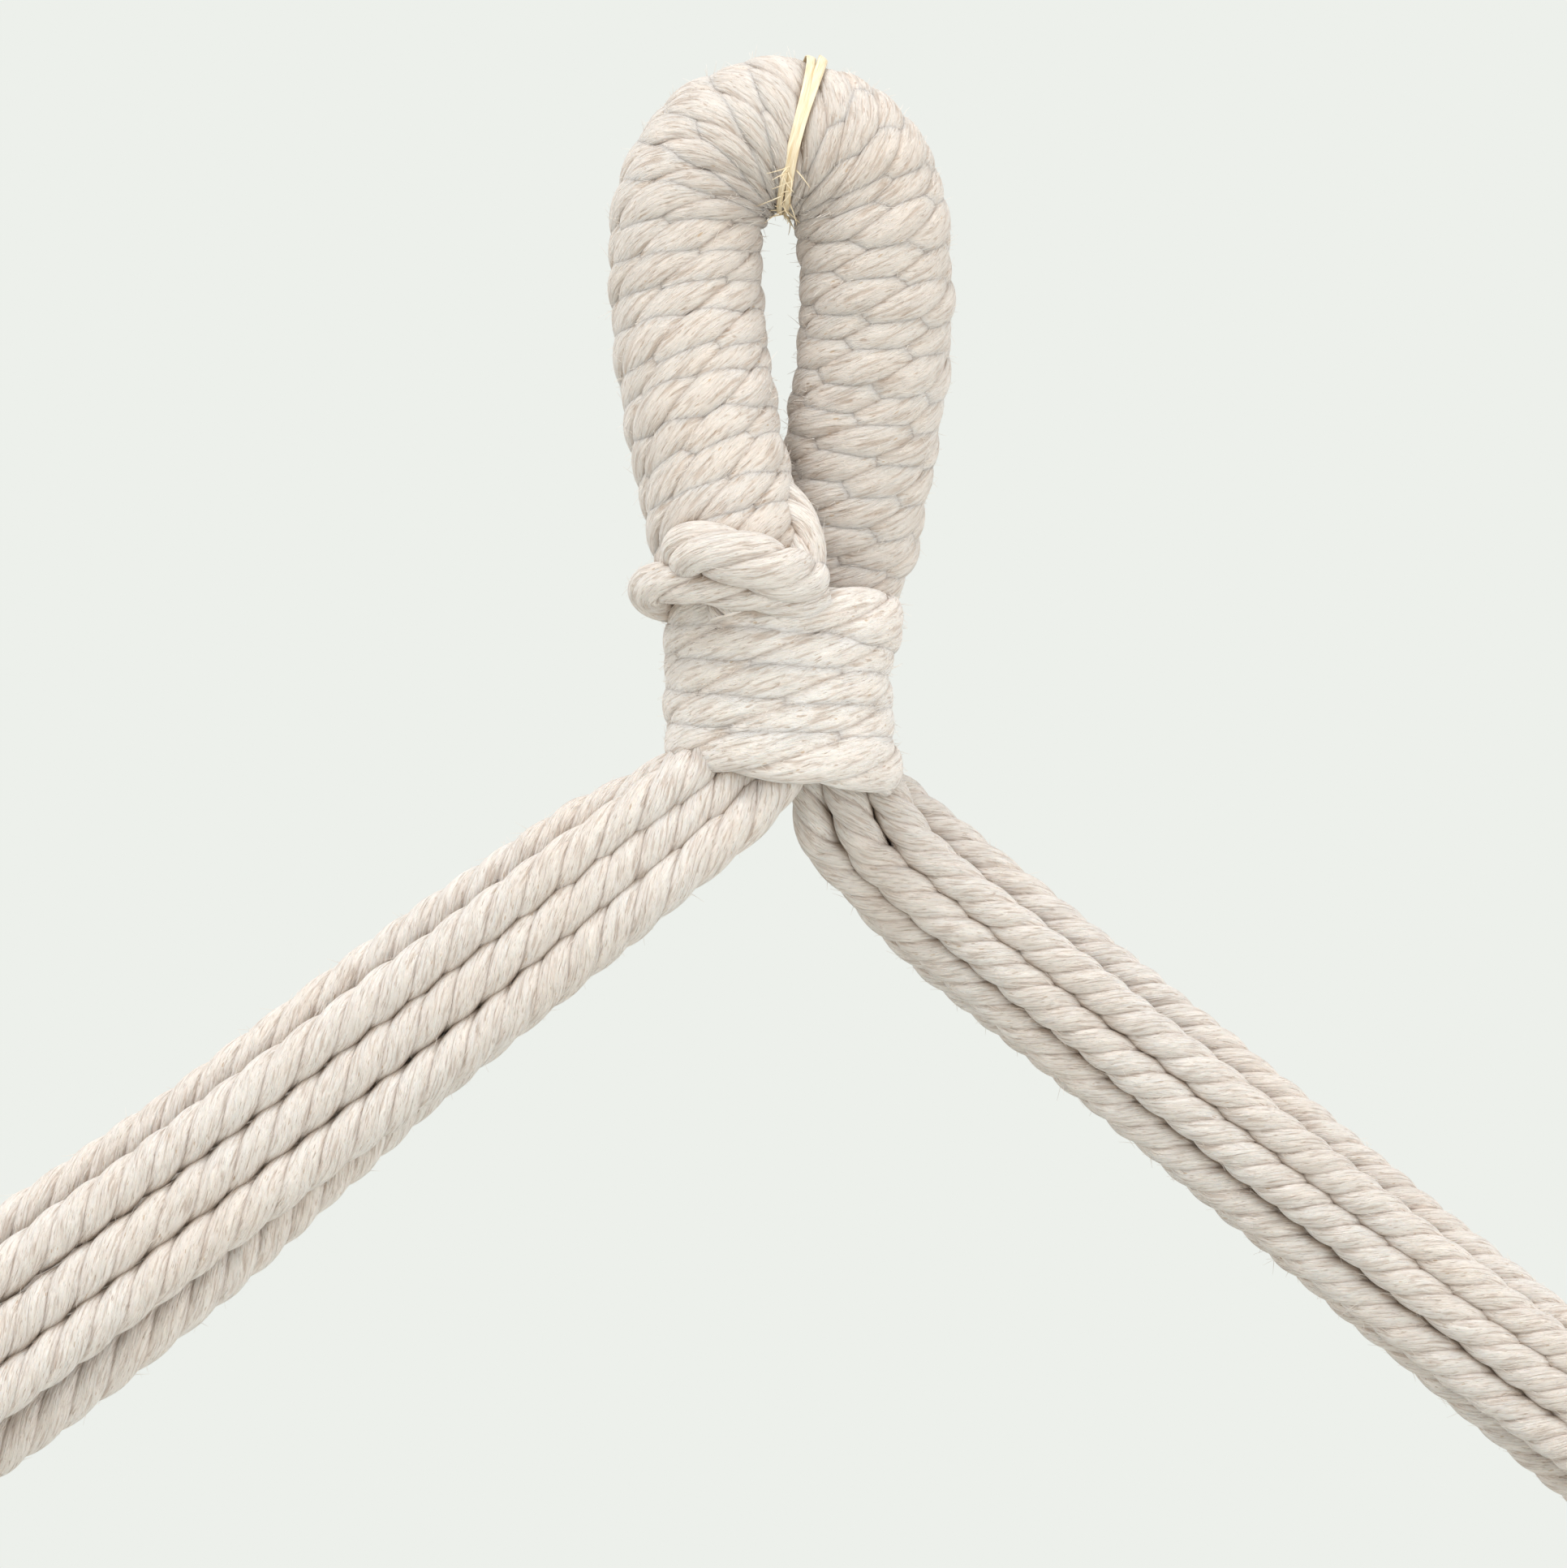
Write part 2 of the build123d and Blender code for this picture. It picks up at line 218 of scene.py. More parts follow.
@dataclass(frozen=True)
class Drift:
    """Smooth seeded unevenness along a line, as a hand-made thing has.

    Attributes:
        amount: About how far it strays each way.
        wave: Its longest wave, in the units of the places where it is read.
        terms: How many waves are added up.
    """

    amount: float
    wave: float
    terms: int = 5

    def at(self, seed: int, places: np.ndarray) -> np.ndarray:
        """Unevenness at places along the line, for one seed."""
        draw = np.random.default_rng(seed)
        rates = 2 * math.pi / (self.wave * (0.35 + 0.65 * draw.random(self.terms)))
        phases = 2 * math.pi * draw.random(self.terms)
        waves = np.sin(np.multiply.outer(places, rates) + phases)
        return self.amount * (waves.sum(-1) / math.sqrt(self.terms * 2))


# ---- cord -----------------------------------------------------------------------------------------


@dataclass(frozen=True)
class Lay:
    """How a cord is laid up: its strands, its twist and how it is pressed.

    Attributes:
        diameter: Across the cord, in millimetres.
        pitch: Length of one turn of a strand.
        strands: Number of strands.
        hand: Way that the strands turn.
        offset: From the cord's axis to a strand's, as a share of the cord's radius.
        groove: Depth of the sharp line where two strands meet, in millimetres.
        groove_width: How far that line reaches to each side.
        shade_width: How far the band of painted shade beside it reaches.
        evenness: Share of their even spacing that a strand's points keep, and don't crowd to its creases.
        wide: Squash along the surface that the cord lies on.
        high: Squash away from that surface.
        yarn_lean: Degrees that the yarns lean back from the strand.
        facets: Points round one strand.
        step: Distance between rings along the cord, in millimetres.
        twist_drift: Unevenness of its twist, in millimetres along it.
        plump_drift: Unevenness of its thickness, as a share.
        strand_drift: The same for each strand.
    """

    diameter: float = 6.2
    pitch: float = 14.0
    strands: int = 3
    hand: Hand = Hand.LEFT
    offset: float = 0.26
    groove: float = 0.2
    groove_width: float = 0.24
    shade_width: float = 0.42
    evenness: float = 0.45
    wide: float = 1.0
    high: float = 1.0
    yarn_lean: float = 13.0
    facets: int = 14
    step: float = 0.5
    twist_drift: Drift = Drift(1.1, 90)
    plump_drift: Drift = Drift(0.022, 26)
    strand_drift: Drift = Drift(0.02, 17)

    def outline(self) -> tuple[np.ndarray, ...]:
        """Outline of the cord's section, from crease to crease round every strand.

        Returns:
            Angle and reach of each point, its signed distance round its strand, and its depth in a crease.
        """
        radius = self.diameter / 2
        offset = self.offset * radius
        strand = radius - offset
        half = math.pi / self.strands
        crease = offset * math.cos(half) + math.sqrt(strand**2 - (offset * math.sin(half)) ** 2)
        turn = math.atan2(crease * math.sin(half), crease * math.cos(half) - offset)
        share = np.linspace(-1, 1, self.facets + 1)[:-1]
        spread = turn * np.sin(share * math.pi / 2) * (1 - self.evenness) + turn * share * self.evenness
        x = offset + strand * np.cos(spread)
        y = strand * np.sin(spread)
        from_crease = (turn - np.abs(spread)) * strand
        reach = np.hypot(x, y) - self.groove * bell(from_crease, self.groove_width)
        angle = np.arctan2(y, x)
        angles = np.concatenate([angle + 2 * half * number for number in range(self.strands)])
        beside = (reach, spread * strand, bell(from_crease, self.shade_width))
        return (angles, *(np.tile(values, self.strands) for values in beside))


LEFT_CORD = Lay(pitch=17.0)
RIGHT_CORD = Lay(diameter=5.6, pitch=13.5)
PLAIN_CORD = Lay(facets=9, step=0.8)


@dataclass(frozen=True)
class Hairs:
    """Short fibres that have worked loose from a cord, with their sizes in millimetres.

    Attributes:
        rate: How many stand on each millimetre of cord.
        root: From the cord's axis to their roots, as a share of its diameter.
        spread: Farthest from the outer side that one stands, in degrees.
        lean: Least and greatest angle from the cord's line, in degrees.
        length: Of the shortest, and how much longer the longest is.
        lift: Least rise of a tip off the cord, and how much more the greatest is.
        curl: Farthest that a tip bends aside.
        thickness: Half of it at the root, and how much less it is at the tip.
        joints: Points along one.
        bare: Points of the cord's line that have none, at each end.
    """

    rate: float = 3.6
    root: float = 0.44
    spread: float = 80
    lean: tuple[float, float] = (5, 75)
    length: tuple[float, float] = (0.8, 1.6)
    lift: tuple[float, float] = (0.28, 0.4)
    curl: float = 0.7
    thickness: tuple[float, float] = (0.042, 0.026)
    joints: int = 5
    bare: int = 4


WOUND_HAIRS = Hairs()
FREE_HAIRS = Hairs(spread=180, length=(0.8, 2.8))


def rings_about(
    line: np.ndarray, normals: np.ndarray, sides: np.ndarray, rise: np.ndarray, aside: np.ndarray
) -> np.ndarray:
    """Rings of points round a line.

    Args:
        line: The line in the middle.
        normals: One direction square to it at each point.
        sides: The other.
        rise: Distance of each ring's points along the first.
        aside: The same along the second.

    Returns:
        Points by ring and by place round it.
    """
    return line[:, None] + rise[..., None] * normals[:, None] + aside[..., None] * sides[:, None]


class Strips:
    """Gathers lengths of cord and turns them into one mesh."""

    def __init__(self) -> None:
        """Starts empty."""
        self.places: list[np.ndarray] = []
        self.faces: list[np.ndarray] = []
        self.fibres: list[np.ndarray] = []
        self.creases: list[np.ndarray] = []
        self.caps: list[tuple[int, ...]] = []
        self.count = 0

    def cord(
        self,
        line: np.ndarray,
        lay: Lay,
        seed: int,
        normals: np.ndarray | None = None,
        width: np.ndarray | float = 1.0,
        valley_shade: float = 0.0,
        turn: float | None = None,
        pinch: np.ndarray | float = 1.0,
    ) -> None:
        """Adds a length of twisted cord.

        Args:
            line: Its centre line, in millimetres, with even steps.
            lay: How it is laid up.
            seed: Seed of its unevenness.
            normals: Direction away from the surface that it is wound on, or none for a free cord.
            width: Thickness along it, as a share of its full size.
            valley_shade: How much painted shade darkens the cord's sides, as between close turns.
            turn: Angle of the first strand at the start, or none to draw one.
            pinch: Squash along the surface at each point, beside the lay's own.
        """
        if normals is None:
            normals = carried_normals(line)
        along = tangents(line)
        normals = square_to(along, normals)
        sides = np.cross(along, normals)
        travel = travelled(line)
        angles, reach, round_strand, depth = lay.outline()
        start = np.random.default_rng(seed).random() * 2 * math.pi if turn is None else turn
        twist = start + lay.hand.value * 2 * math.pi * (travel + lay.twist_drift.at(seed, travel)) / lay.pitch
        scale = np.broadcast_to(width, travel.shape) * (1 + lay.plump_drift.at(seed + 7, travel))
        strand_of = np.arange(len(angles)) // lay.facets
        swells = [lay.strand_drift.at(seed + 31 * (number + 1), travel) for number in range(lay.strands)]
        theta = twist[:, None] + angles[None, :]
        out = reach[None, :] * scale[:, None] * (1 + np.stack(swells, axis=1)[:, strand_of])
        rise = out * np.cos(theta) * lay.high
        aside = out * np.sin(theta) * lay.wide * np.broadcast_to(pinch, travel.shape)[:, None]
        rings = rings_about(line, normals, sides, rise, aside)
        # Painted shade: the strand creases, and the low side of a wound cord between close turns, are
        # darkened in the cotton.
        low = np.clip((0.5 - rise / (lay.diameter / 2 * lay.high)) / 0.5, 0, 1)
        crease = np.maximum(np.broadcast_to(depth, theta.shape), valley_shade * low)
        self.grid(rings, self.fibre_map(travel, round_strand, lay, seed), crease)

    def ribbon(
        self, line: np.ndarray, normals: np.ndarray, wide: np.ndarray, thick: float, seed: int
    ) -> None:
        """Adds a flat strip.

        Args:
            line: Its centre line, in millimetres.
            normals: Direction that its flat side faces, at each point.
            wide: Its width at each point.
            thick: Its thickness.
            seed: Shifts the pattern.
        """
        along = tangents(line)
        normals = square_to(along, normals)
        sides = np.cross(along, normals)
        theta = np.arange(RIBBON_FACETS) * 2 * math.pi / RIBBON_FACETS
        rise = thick / 2 * np.sin(theta)
        aside = wide[:, None] / 2 * np.cos(theta)[None, :]
        rings = rings_about(line, normals, sides, rise, aside)
        near = aside + seed * RIBBON_SHIFT
        far = np.roll(near, -1, axis=1)
        across = np.stack([near[:-1], far[:-1], far[1:], near[1:]], axis=-1)
        corners = self.corners(across, travelled(line))
        self.grid(rings, np.stack(corners, axis=-1), np.zeros(rings.shape[:2]))

    def stray(self, line: np.ndarray, lay: Lay, seed: int, normals: np.ndarray | None = None) -> None:
        """Adds short stray fibres that stand a little off a length of cord.

        Args:
            line: Its centre line, in millimetres.
            lay: How it is laid up.
            seed: Seed of the draw.
            normals: Direction away from the surface that it is wound on, or none for a free cord.
        """
        hairs = WOUND_HAIRS
        if normals is None:
            hairs, normals = FREE_HAIRS, carried_normals(line)
        draw = np.random.default_rng(seed)
        count = int(length_of(line) * hairs.rate)
        spots = draw.integers(hairs.bare, len(line) - hairs.bare, count)
        along = tangents(line)[spots]
        normals = square_to(along, normals[spots])
        turn = np.radians(draw.uniform(-hairs.spread, hairs.spread, (count, 1)))
        out = np.cos(turn) * lay.high * normals + np.sin(turn) * lay.wide * np.cross(along, normals)
        base = line[spots] + out * lay.diameter * hairs.root
        out = unit(out)
        across = np.cross(along, out)
        lean = lay.hand.value * np.radians(draw.uniform(*hairs.lean, (count, 1)))
        ahead = (np.cos(lean) * along + np.sin(lean) * across) * draw.choice([-1, 1], (count, 1))
        reach = hairs.length[0] + hairs.length[1] * draw.random((count, 1)) ** 3
        lift = hairs.lift[0] + hairs.lift[1] * draw.random((count, 1)) ** 2
        curl = draw.uniform(-hairs.curl, hairs.curl, (count, 1))
        share = np.linspace(0, 1, hairs.joints)[None, :, None]
        path = base[:, None] + share * (ahead * reach)[:, None] + share**1.5 * (out * lift)[:, None]
        path = path + share**2 * (across * curl)[:, None]
        thick = (hairs.thickness[0] - hairs.thickness[1] * share)[..., None]
        around = np.radians([0, 120, 240])[:, None]
        section = np.cos(around) * out[:, None] + np.sin(around) * np.cross(unit(ahead), out)[:, None]
        for rings in path[:, :, None] + thick * section[:, None]:
            self.grid(rings, np.zeros((hairs.joints - 1, 3, 4, 2)), np.zeros((hairs.joints, 3)))

    def corners(self, across: np.ndarray, run: np.ndarray) -> tuple[np.ndarray, np.ndarray]:
        """Values across and along a tube at the four corners of each face.

        Args:
            across: Values across, by ring, place and corner, or the same at each ring.
            run: Value along at each ring.

        Returns:
            Both values for every face's corners.
        """
        ahead = np.stack([run[:-1], run[:-1], run[1:], run[1:]], axis=1)[:, None]
        return tuple(np.broadcast_arrays(across, ahead))

    def fibre_map(self, travel: np.ndarray, round_strand: np.ndarray, lay: Lay, seed: int) -> np.ndarray:
        """Coordinates across and along the yarns for the four corners of each face.

        Args:
            travel: Distance of each ring along the cord.
            round_strand: Distance of each outline point round its strand.
            lay: How the cord is laid up.
            seed: Shifts the pattern, so that no two cords match.

        Returns:
            Array of faces along, faces round, corners and the two coordinates.
        """
        rise = math.cos(math.atan(math.pi * lay.diameter * 0.62 / lay.pitch))
        lean = math.radians(lay.yarn_lean) * -lay.hand.value
        places = np.arange(len(round_strand))
        near = round_strand
        far = np.append(round_strand[1:], round_strand[0])
        far = np.where(places % lay.facets == lay.facets - 1, -round_strand[0], far)
        across, ahead = self.corners(np.stack([near, far, far, near], axis=1)[None], travel / rise)
        shift = (places // lay.facets * STRAND_SHIFT + seed * SEED_SHIFT)[None, :, None]
        leant = [
            across * math.cos(lean) - ahead * math.sin(lean) + shift,
            across * math.sin(lean) + ahead * math.cos(lean) + shift * 1.7,
        ]
        return np.stack(leant, axis=-1)

    def grid(self, rings: np.ndarray, fibres: np.ndarray, crease: np.ndarray) -> None:
        """Adds a closed tube of rings with both ends capped.

        Args:
            rings: Points by ring and by place round the ring, in millimetres.
            fibres: Texture coordinates for each face corner.
            crease: How deep in a crease or between close turns each point is, from 0 to 1, for the painted
                shade there.
        """
        count, around = rings.shape[:2]
        index = np.arange(count * around).reshape(count, around) + self.count
        after = np.roll(index, -1, axis=1)
        faces = np.stack([index[:-1], after[:-1], after[1:], index[1:]], axis=-1)
        self.places.append(rings.reshape(-1, 3))
        self.faces.append(faces.reshape(-1, 4))
        self.fibres.append(fibres.reshape(-1, 2))
        self.creases.append(crease.reshape(-1))
        self.caps += [tuple(index[0][::-1]), tuple(index[-1])]
        self.count += count * around

    def piece(self, name: str, material: bpy.types.Material) -> bpy.types.Object:
        """Makes the gathered lengths into one object.

        Args:
            name: Name of the piece.
            material: Its finish.

        Returns:
            The object, linked to the scene.
        """
        places = np.concatenate(self.places) * MM
        quads = np.concatenate(self.faces)
        cap_sizes = [len(cap) for cap in self.caps]
        corners = np.concatenate([quads.reshape(-1), *[np.array(cap) for cap in self.caps]])
        starts = np.concatenate([np.arange(len(quads)) * 4, len(quads) * 4 + np.cumsum([0, *cap_sizes[:-1]])])
        mesh = bpy.data.meshes.new(name)
        mesh.vertices.add(len(places))
        mesh.vertices.foreach_set("co", places.reshape(-1))
        mesh.loops.add(len(corners))
        mesh.loops.foreach_set("vertex_index", corners.astype(np.int32))
        mesh.polygons.add(len(starts))
        mesh.polygons.foreach_set("loop_start", starts.astype(np.int32))
        mesh.polygons.foreach_set("use_smooth", np.ones(len(starts), bool))
        mesh.update(calc_edges=True)
        fibre = mesh.uv_layers.new(name="Fibre")
        flat = np.zeros((len(corners), 2), np.float32)
        flat[: len(quads) * 4] = np.concatenate(self.fibres)
        fibre.uv.foreach_set("vector", flat.reshape(-1))
        crease = mesh.attributes.new("crease", "FLOAT", "POINT")
        crease.data.foreach_set("value", np.concatenate(self.creases).astype(np.float32))
        mesh.materials.append(material)
        mesh.validate()
        piece = bpy.data.objects.new(name, mesh)
        bpy.context.scene.collection.objects.link(piece)
        log.info("%s: %d faces", name, len(mesh.polygons))
        return piece


# ---- finishes -------------------------------------------------------------------------------------


class Nodes:
    """Short calls for building a material's nodes."""

    def __init__(self, name: str) -> None:
        """Starts a material with one principled shader."""
        self.material = bpy.data.materials.new(name)
        self.material.use_nodes = True
        self.tree = self.material.node_tree
        self.shader = self.tree.nodes["Principled BSDF"]

    def add(
        self, kind: str, inputs: dict[str | int, object] | None = None, **settings: object
    ) -> bpy.types.Node:
        """Adds a node.

        Args:
            kind: Its type, without the ShaderNode prefix.
            inputs: Values, or sockets to link, by input name or number.
            **settings: Properties of the node.

        Returns:
            The node.
        """
        node = self.tree.nodes.new("ShaderNode" + kind)
        for key, value in settings.items():
            setattr(node, key, value)
        for key, value in (inputs or {}).items():
            self.feed(node.inputs[key], value)
        return node

    def feed(self, socket: Socket, value: object) -> None:
        """Links a socket to another, or sets its value."""
        if isinstance(value, Socket):
            self.tree.links.new(value, socket)
        else:
            socket.default_value = value

    def math(self, operation: str, *values: object) -> Socket:
        """Result of a math node."""
        return self.add("Math", dict(enumerate(values)), operation=operation).outputs[0]

    def mix(self, share: object, first: object, second: object) -> Socket:
        """Result of mixing two colours."""
        node = self.add("Mix", {0: share, 6: first, 7: second}, data_type="RGBA")
        return node.outputs[2]

    def noise(self, where: object, scale: float, detail: float = 2.0, rough: float = 0.5) -> Socket:
        """Value of a noise texture."""
        values = {"Vector": where, "Scale": scale, "Detail": detail, "Roughness": rough}
        return self.add("TexNoise", values).outputs[0]

    def grain(self, where: object, rates: Point, detail: float = 2.0, rough: float = 0.5) -> Socket:
        """Value of a noise texture that is scaled along each axis."""
        stretched = self.add("Mapping", {"Vector": where, "Scale": rates}).outputs[0]
        return self.noise(stretched, 1.0, detail, rough)

    def ramp(self, value: object, low: float, high: float) -> Socket:
        """Value spread so that low becomes 0 and high becomes 1, and held between them."""
        return self.add("MapRange", {"Value": value, "From Min": low, "From Max": high}).outputs[0]

    def tint(
        self, base: object, value: object, low: float, high: float, most: float, colour: Colour
    ) -> Socket:
        """Lays a colour over another where a value runs from low to high.

        Args:
            base: The colour below.
            value: What decides where.
            low: Value at which there is none of it.
            high: Value from which there is most.
            most: Greatest share of it.
            colour: The colour laid over.

        Returns:
            The mixed colour.
        """
        return self.mix(self.math("MULTIPLY", self.ramp(value, low, high), most), base, colour)

    def bump(self, height: object, strength: float, distance: float) -> Socket:
        """Normal of a bump of that depth in metres."""
        return self.add("Bump", {"Height": height, "Strength": strength, "Distance": distance}).outputs[0]

    def finish(self, values: dict[str, object]) -> bpy.types.Material:
        """Feeds the shader's sockets by name and hands over the material."""
        for name, value in values.items():
            self.feed(self.shader.inputs[name], value)
        return self.material


@dataclass(frozen=True)
class Cotton:
    """Natural cotton cord: soft yarns side by side, with warm painted shade in the creases and between cords,
    and a few straw flecks.

    Attributes:
        name: Of the material.
        light: The clean cotton.
        shade: Painted shade in streaks along the yarns and in the fine grooves between fibres.
        crease: Painted shade in the lines between yarns and between strands, and where another surface comes
            near.
        warm: Broad creamy patches.
        fleck: Bits of seed husk.
        contact_shade: Warm painted shade between two cords that touch.
        yarn_width: Across one yarn, in millimetres.
        contact_reach: How near another surface must come to paint shade on it, in metres.
        yarn_depth: Relief of the yarns, in metres.
    """

    name: str = "natural_cotton"
    light: Colour = (0.965, 0.905, 0.85, 1)
    shade: Colour = (0.81, 0.70, 0.61, 1)
    crease: Colour = (0.38, 0.25, 0.165, 1)
    warm: Colour = (0.92, 0.815, 0.725, 1)
    fleck: Colour = (0.55, 0.36, 0.19, 1)
    contact_shade: Colour = (0.53, 0.37, 0.235, 1)
    yarn_width: float = 0.34
    contact_reach: float = 0.0018
    yarn_depth: float = 0.0006

    def material(self) -> bpy.types.Material:
        """Builds the material.

        Returns:
            The material.
        """
        nodes = Nodes(self.name)
        fibre = nodes.add("UVMap", uv_map="Fibre").outputs[0]
        place = nodes.add("TexCoord").outputs["Object"]
        rate = 1 / self.yarn_width
        wander = nodes.grain(fibre, (0.5, 0.2, 1))
        push = nodes.add("CombineXYZ", {"X": nodes.math("MULTIPLY", wander, 0.8)}).outputs[0]
        bent = nodes.add("VectorMath", {0: fibre, 1: push}, operation="ADD").outputs[0]
        yarns = nodes.grain(bent, (rate * 0.9, 0.24, 1), 1.0)
        dashes = nodes.grain(bent, (rate * 1.5, 0.62, 1), 2.0, 0.6)
        fibres = nodes.grain(bent, (rate * 3.5, 0.9, 1), 3.0, 0.65)
        streaks = nodes.grain(bent, (1.4, 0.14, 1), 2.0, 0.6)
        tone = nodes.noise(place, 55)
        depth = nodes.add("Attribute", attribute_name="crease", attribute_type="GEOMETRY").outputs["Fac"]
        patchy = nodes.ramp(nodes.grain(fibre, (0.5, 0.22, 1)), 0.32, 0.62)
        # Painted shade in streaks along the yarns.
        base = nodes.tint(self.light, streaks, 0.60, 0.36, 0.34, self.shade)
        base = nodes.tint(base, tone, 0.42, 0.66, 0.5, self.warm)
        # Painted shade in the grooves between yarns, where the bump sinks.
        base = nodes.tint(base, yarns, 0.47, 0.33, 0.42, self.crease)
        base = nodes.tint(base, dashes, 0.41, 0.30, 0.62, self.crease)
        # Painted shade in the fine grooves between fibres, where the bump sinks.
        base = nodes.tint(base, fibres, 0.48, 0.28, 0.35, self.shade)
        # Painted shade, deep in the strand creases and between close turns, patchy along the yarns.
        deep = nodes.math("POWER", depth, 1.8)
        groove_shade = nodes.math("MULTIPLY", deep, nodes.math("MULTIPLY_ADD", patchy, 0.36, 0.05))
        base = nodes.mix(groove_shade, base, self.crease)
        reach = {"Distance": self.contact_reach}
        near, own = (
            nodes.add("AmbientOcclusion", reach, samples=6, only_local=local).outputs["AO"]
            for local in (False, True)
        )
        # Painted shade where any surface comes near.
        base = nodes.tint(base, near, 0.42, 0.08, 0.4, self.crease)
        # Warm painted shade where another piece comes near, as between touching cords.
        base = nodes.tint(base, nodes.math("SUBTRACT", own, near), 0.24, 0.70, 0.55, self.contact_shade)
        base = nodes.tint(base, nodes.grain(fibre, (2.6, 0.9, 1), 0.0), 0.79, 0.84, 0.6, self.fleck)
        height = nodes.math("ADD", yarns, nodes.math("MULTIPLY", fibres, 0.5))
        height = nodes.math("MULTIPLY_ADD", dashes, 0.7, height)
        return nodes.finish(
            {
                "Base Color": base,
                "Normal": nodes.bump(height, 1.0, self.yarn_depth),
                "Roughness": 0.95,
                "Specular IOR Level": 0.12,
                "Sheen Weight": 0.35,
                "Sheen Roughness": 0.5,
                "Subsurface Weight": 0.3,
                "Subsurface Radius": (1.0, 0.85, 0.7),
                "Subsurface Scale": 0.0012,
            }
        )


# Darker copy of the cotton for the eye's wraps: painted shade, as the upright wound legs get less of the
# light from above.
SHADED_WOUND_COTTON = Cotton(name="shaded_wound_cotton", light=(0.79, 0.733, 0.677, 1), warm=(0.755, 0.665, 0.58, 1))


@dataclass(frozen=True)
class LooseCotton:
    """Single cotton fibres that have worked loose: pale, plain and dull."""

    name: str = "loose_cotton"
    colour: Colour = (0.90, 0.835, 0.765, 1)

    def material(self) -> bpy.types.Material:
        """Builds the material."""
        look = {"Base Color": self.colour, "Roughness": 1.0, "Specular IOR Level": 0.1}
        return Nodes(self.name).finish(look)


@dataclass(frozen=True)
class Raffia:
    """Split raffia: a dry straw strip with lengthwise streaks."""

    name: str = "split_raffia"
    pale: Colour = (0.94, 0.86, 0.66, 1)
    deep: Colour = (0.72, 0.55, 0.32, 1)

    def material(self) -> bpy.types.Material:
        """Builds the material.

        Returns:
            The material.
        """
        nodes = Nodes(self.name)
        fibre = nodes.add("UVMap", uv_map="Fibre").outputs[0]
        streaks = nodes.grain(fibre, (7.0, 0.25, 1), 3.0, 0.6)
        patches = nodes.grain(fibre, (0.9, 0.2, 1))
        tone = nodes.math("ADD", nodes.math("MULTIPLY", streaks, 0.6), nodes.math("MULTIPLY", patches, 0.4))
        base = nodes.mix(nodes.ramp(tone, 0.38, 0.62), self.deep, self.pale)
        relief = nodes.bump(streaks, 0.7, 0.0002)
        return nodes.finish({"Base Color": base, "Normal": relief, "Roughness": 0.55})


@dataclass(frozen=True)
class Earthenware:
    """Unglazed fired clay: fine throwing rings, soft mottling, pits and a paler bloom."""

    name: str = "earthenware"
    clay: Colour = (0.52, 0.255, 0.155, 1)
    pale: Colour = (0.66, 0.40, 0.28, 1)
    dark: Colour = (0.36, 0.16, 0.09, 1)

    def material(self) -> bpy.types.Material:
        """Builds the material.

        Returns:
            The material.
        """
        nodes = Nodes(self.name)
        place = nodes.add("TexCoord").outputs["Object"]
        bloom = nodes.noise(place, 14, 5.0, 0.6)
        rings = nodes.grain(place, (2.0, 2.0, 330.0), 3.0)
        grain = nodes.noise(place, 900, 3.0, 0.6)
        pits = nodes.noise(place, 420, 1.0)
        base = nodes.mix(nodes.ramp(bloom, 0.35, 0.72), self.clay, self.pale)
        base = nodes.tint(base, rings, 0.40, 0.62, 0.30, self.dark)
        base = nodes.tint(base, grain, 0.55, 0.75, 0.25, self.pale)
        base = nodes.tint(base, pits, 0.30, 0.22, 0.55, self.dark)
        height = nodes.math("MULTIPLY_ADD", grain, 0.25, rings)
        roughness = nodes.math("MULTIPLY_ADD", bloom, 0.25, 0.68)
        relief = nodes.bump(height, 0.5, 0.0006)
        return nodes.finish({"Base Color": base, "Normal": relief, "Roughness": roughness})


@dataclass(frozen=True)
class Backdrop:
    """Plain pale studio floor."""

    name: str = "backdrop"
    colour: Colour = (0.60, 0.62, 0.59, 1)
    mottle: float = 1.02

    def material(self) -> bpy.types.Material:
        """Builds the material."""
        nodes = Nodes(self.name)
        cloud = nodes.noise(nodes.add("TexCoord").outputs["Object"], 1.2)
        lighter = tuple(min(value * self.mottle, 1) for value in self.colour)
        return nodes.finish({"Base Color": nodes.mix(cloud, self.colour, lighter), "Roughness": 0.95})


@dataclass(frozen=True)
class Finishes:
    """The materials that the sub-assemblies share."""

    cotton: bpy.types.Material
    wound: bpy.types.Material
    loose: bpy.types.Material
    raffia: bpy.types.Material
    clay: bpy.types.Material
    backdrop: bpy.types.Material


# ---- sub-assemblies -------------------------------------------------------------------------------


def settle(piece: bpy.types.Object, *nodes: str, slot: str = "cotton") -> None:
    """Puts a finished piece on the hanger, in place of the CAD nodes that it shows."""
    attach(piece, HANGER)
    if nodes:
        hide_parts(*nodes)


def pick(draw: np.random.Generator, low: float, high: float) -> float:
    """A number drawn evenly between two others."""
    return float(draw.uniform(low, high))


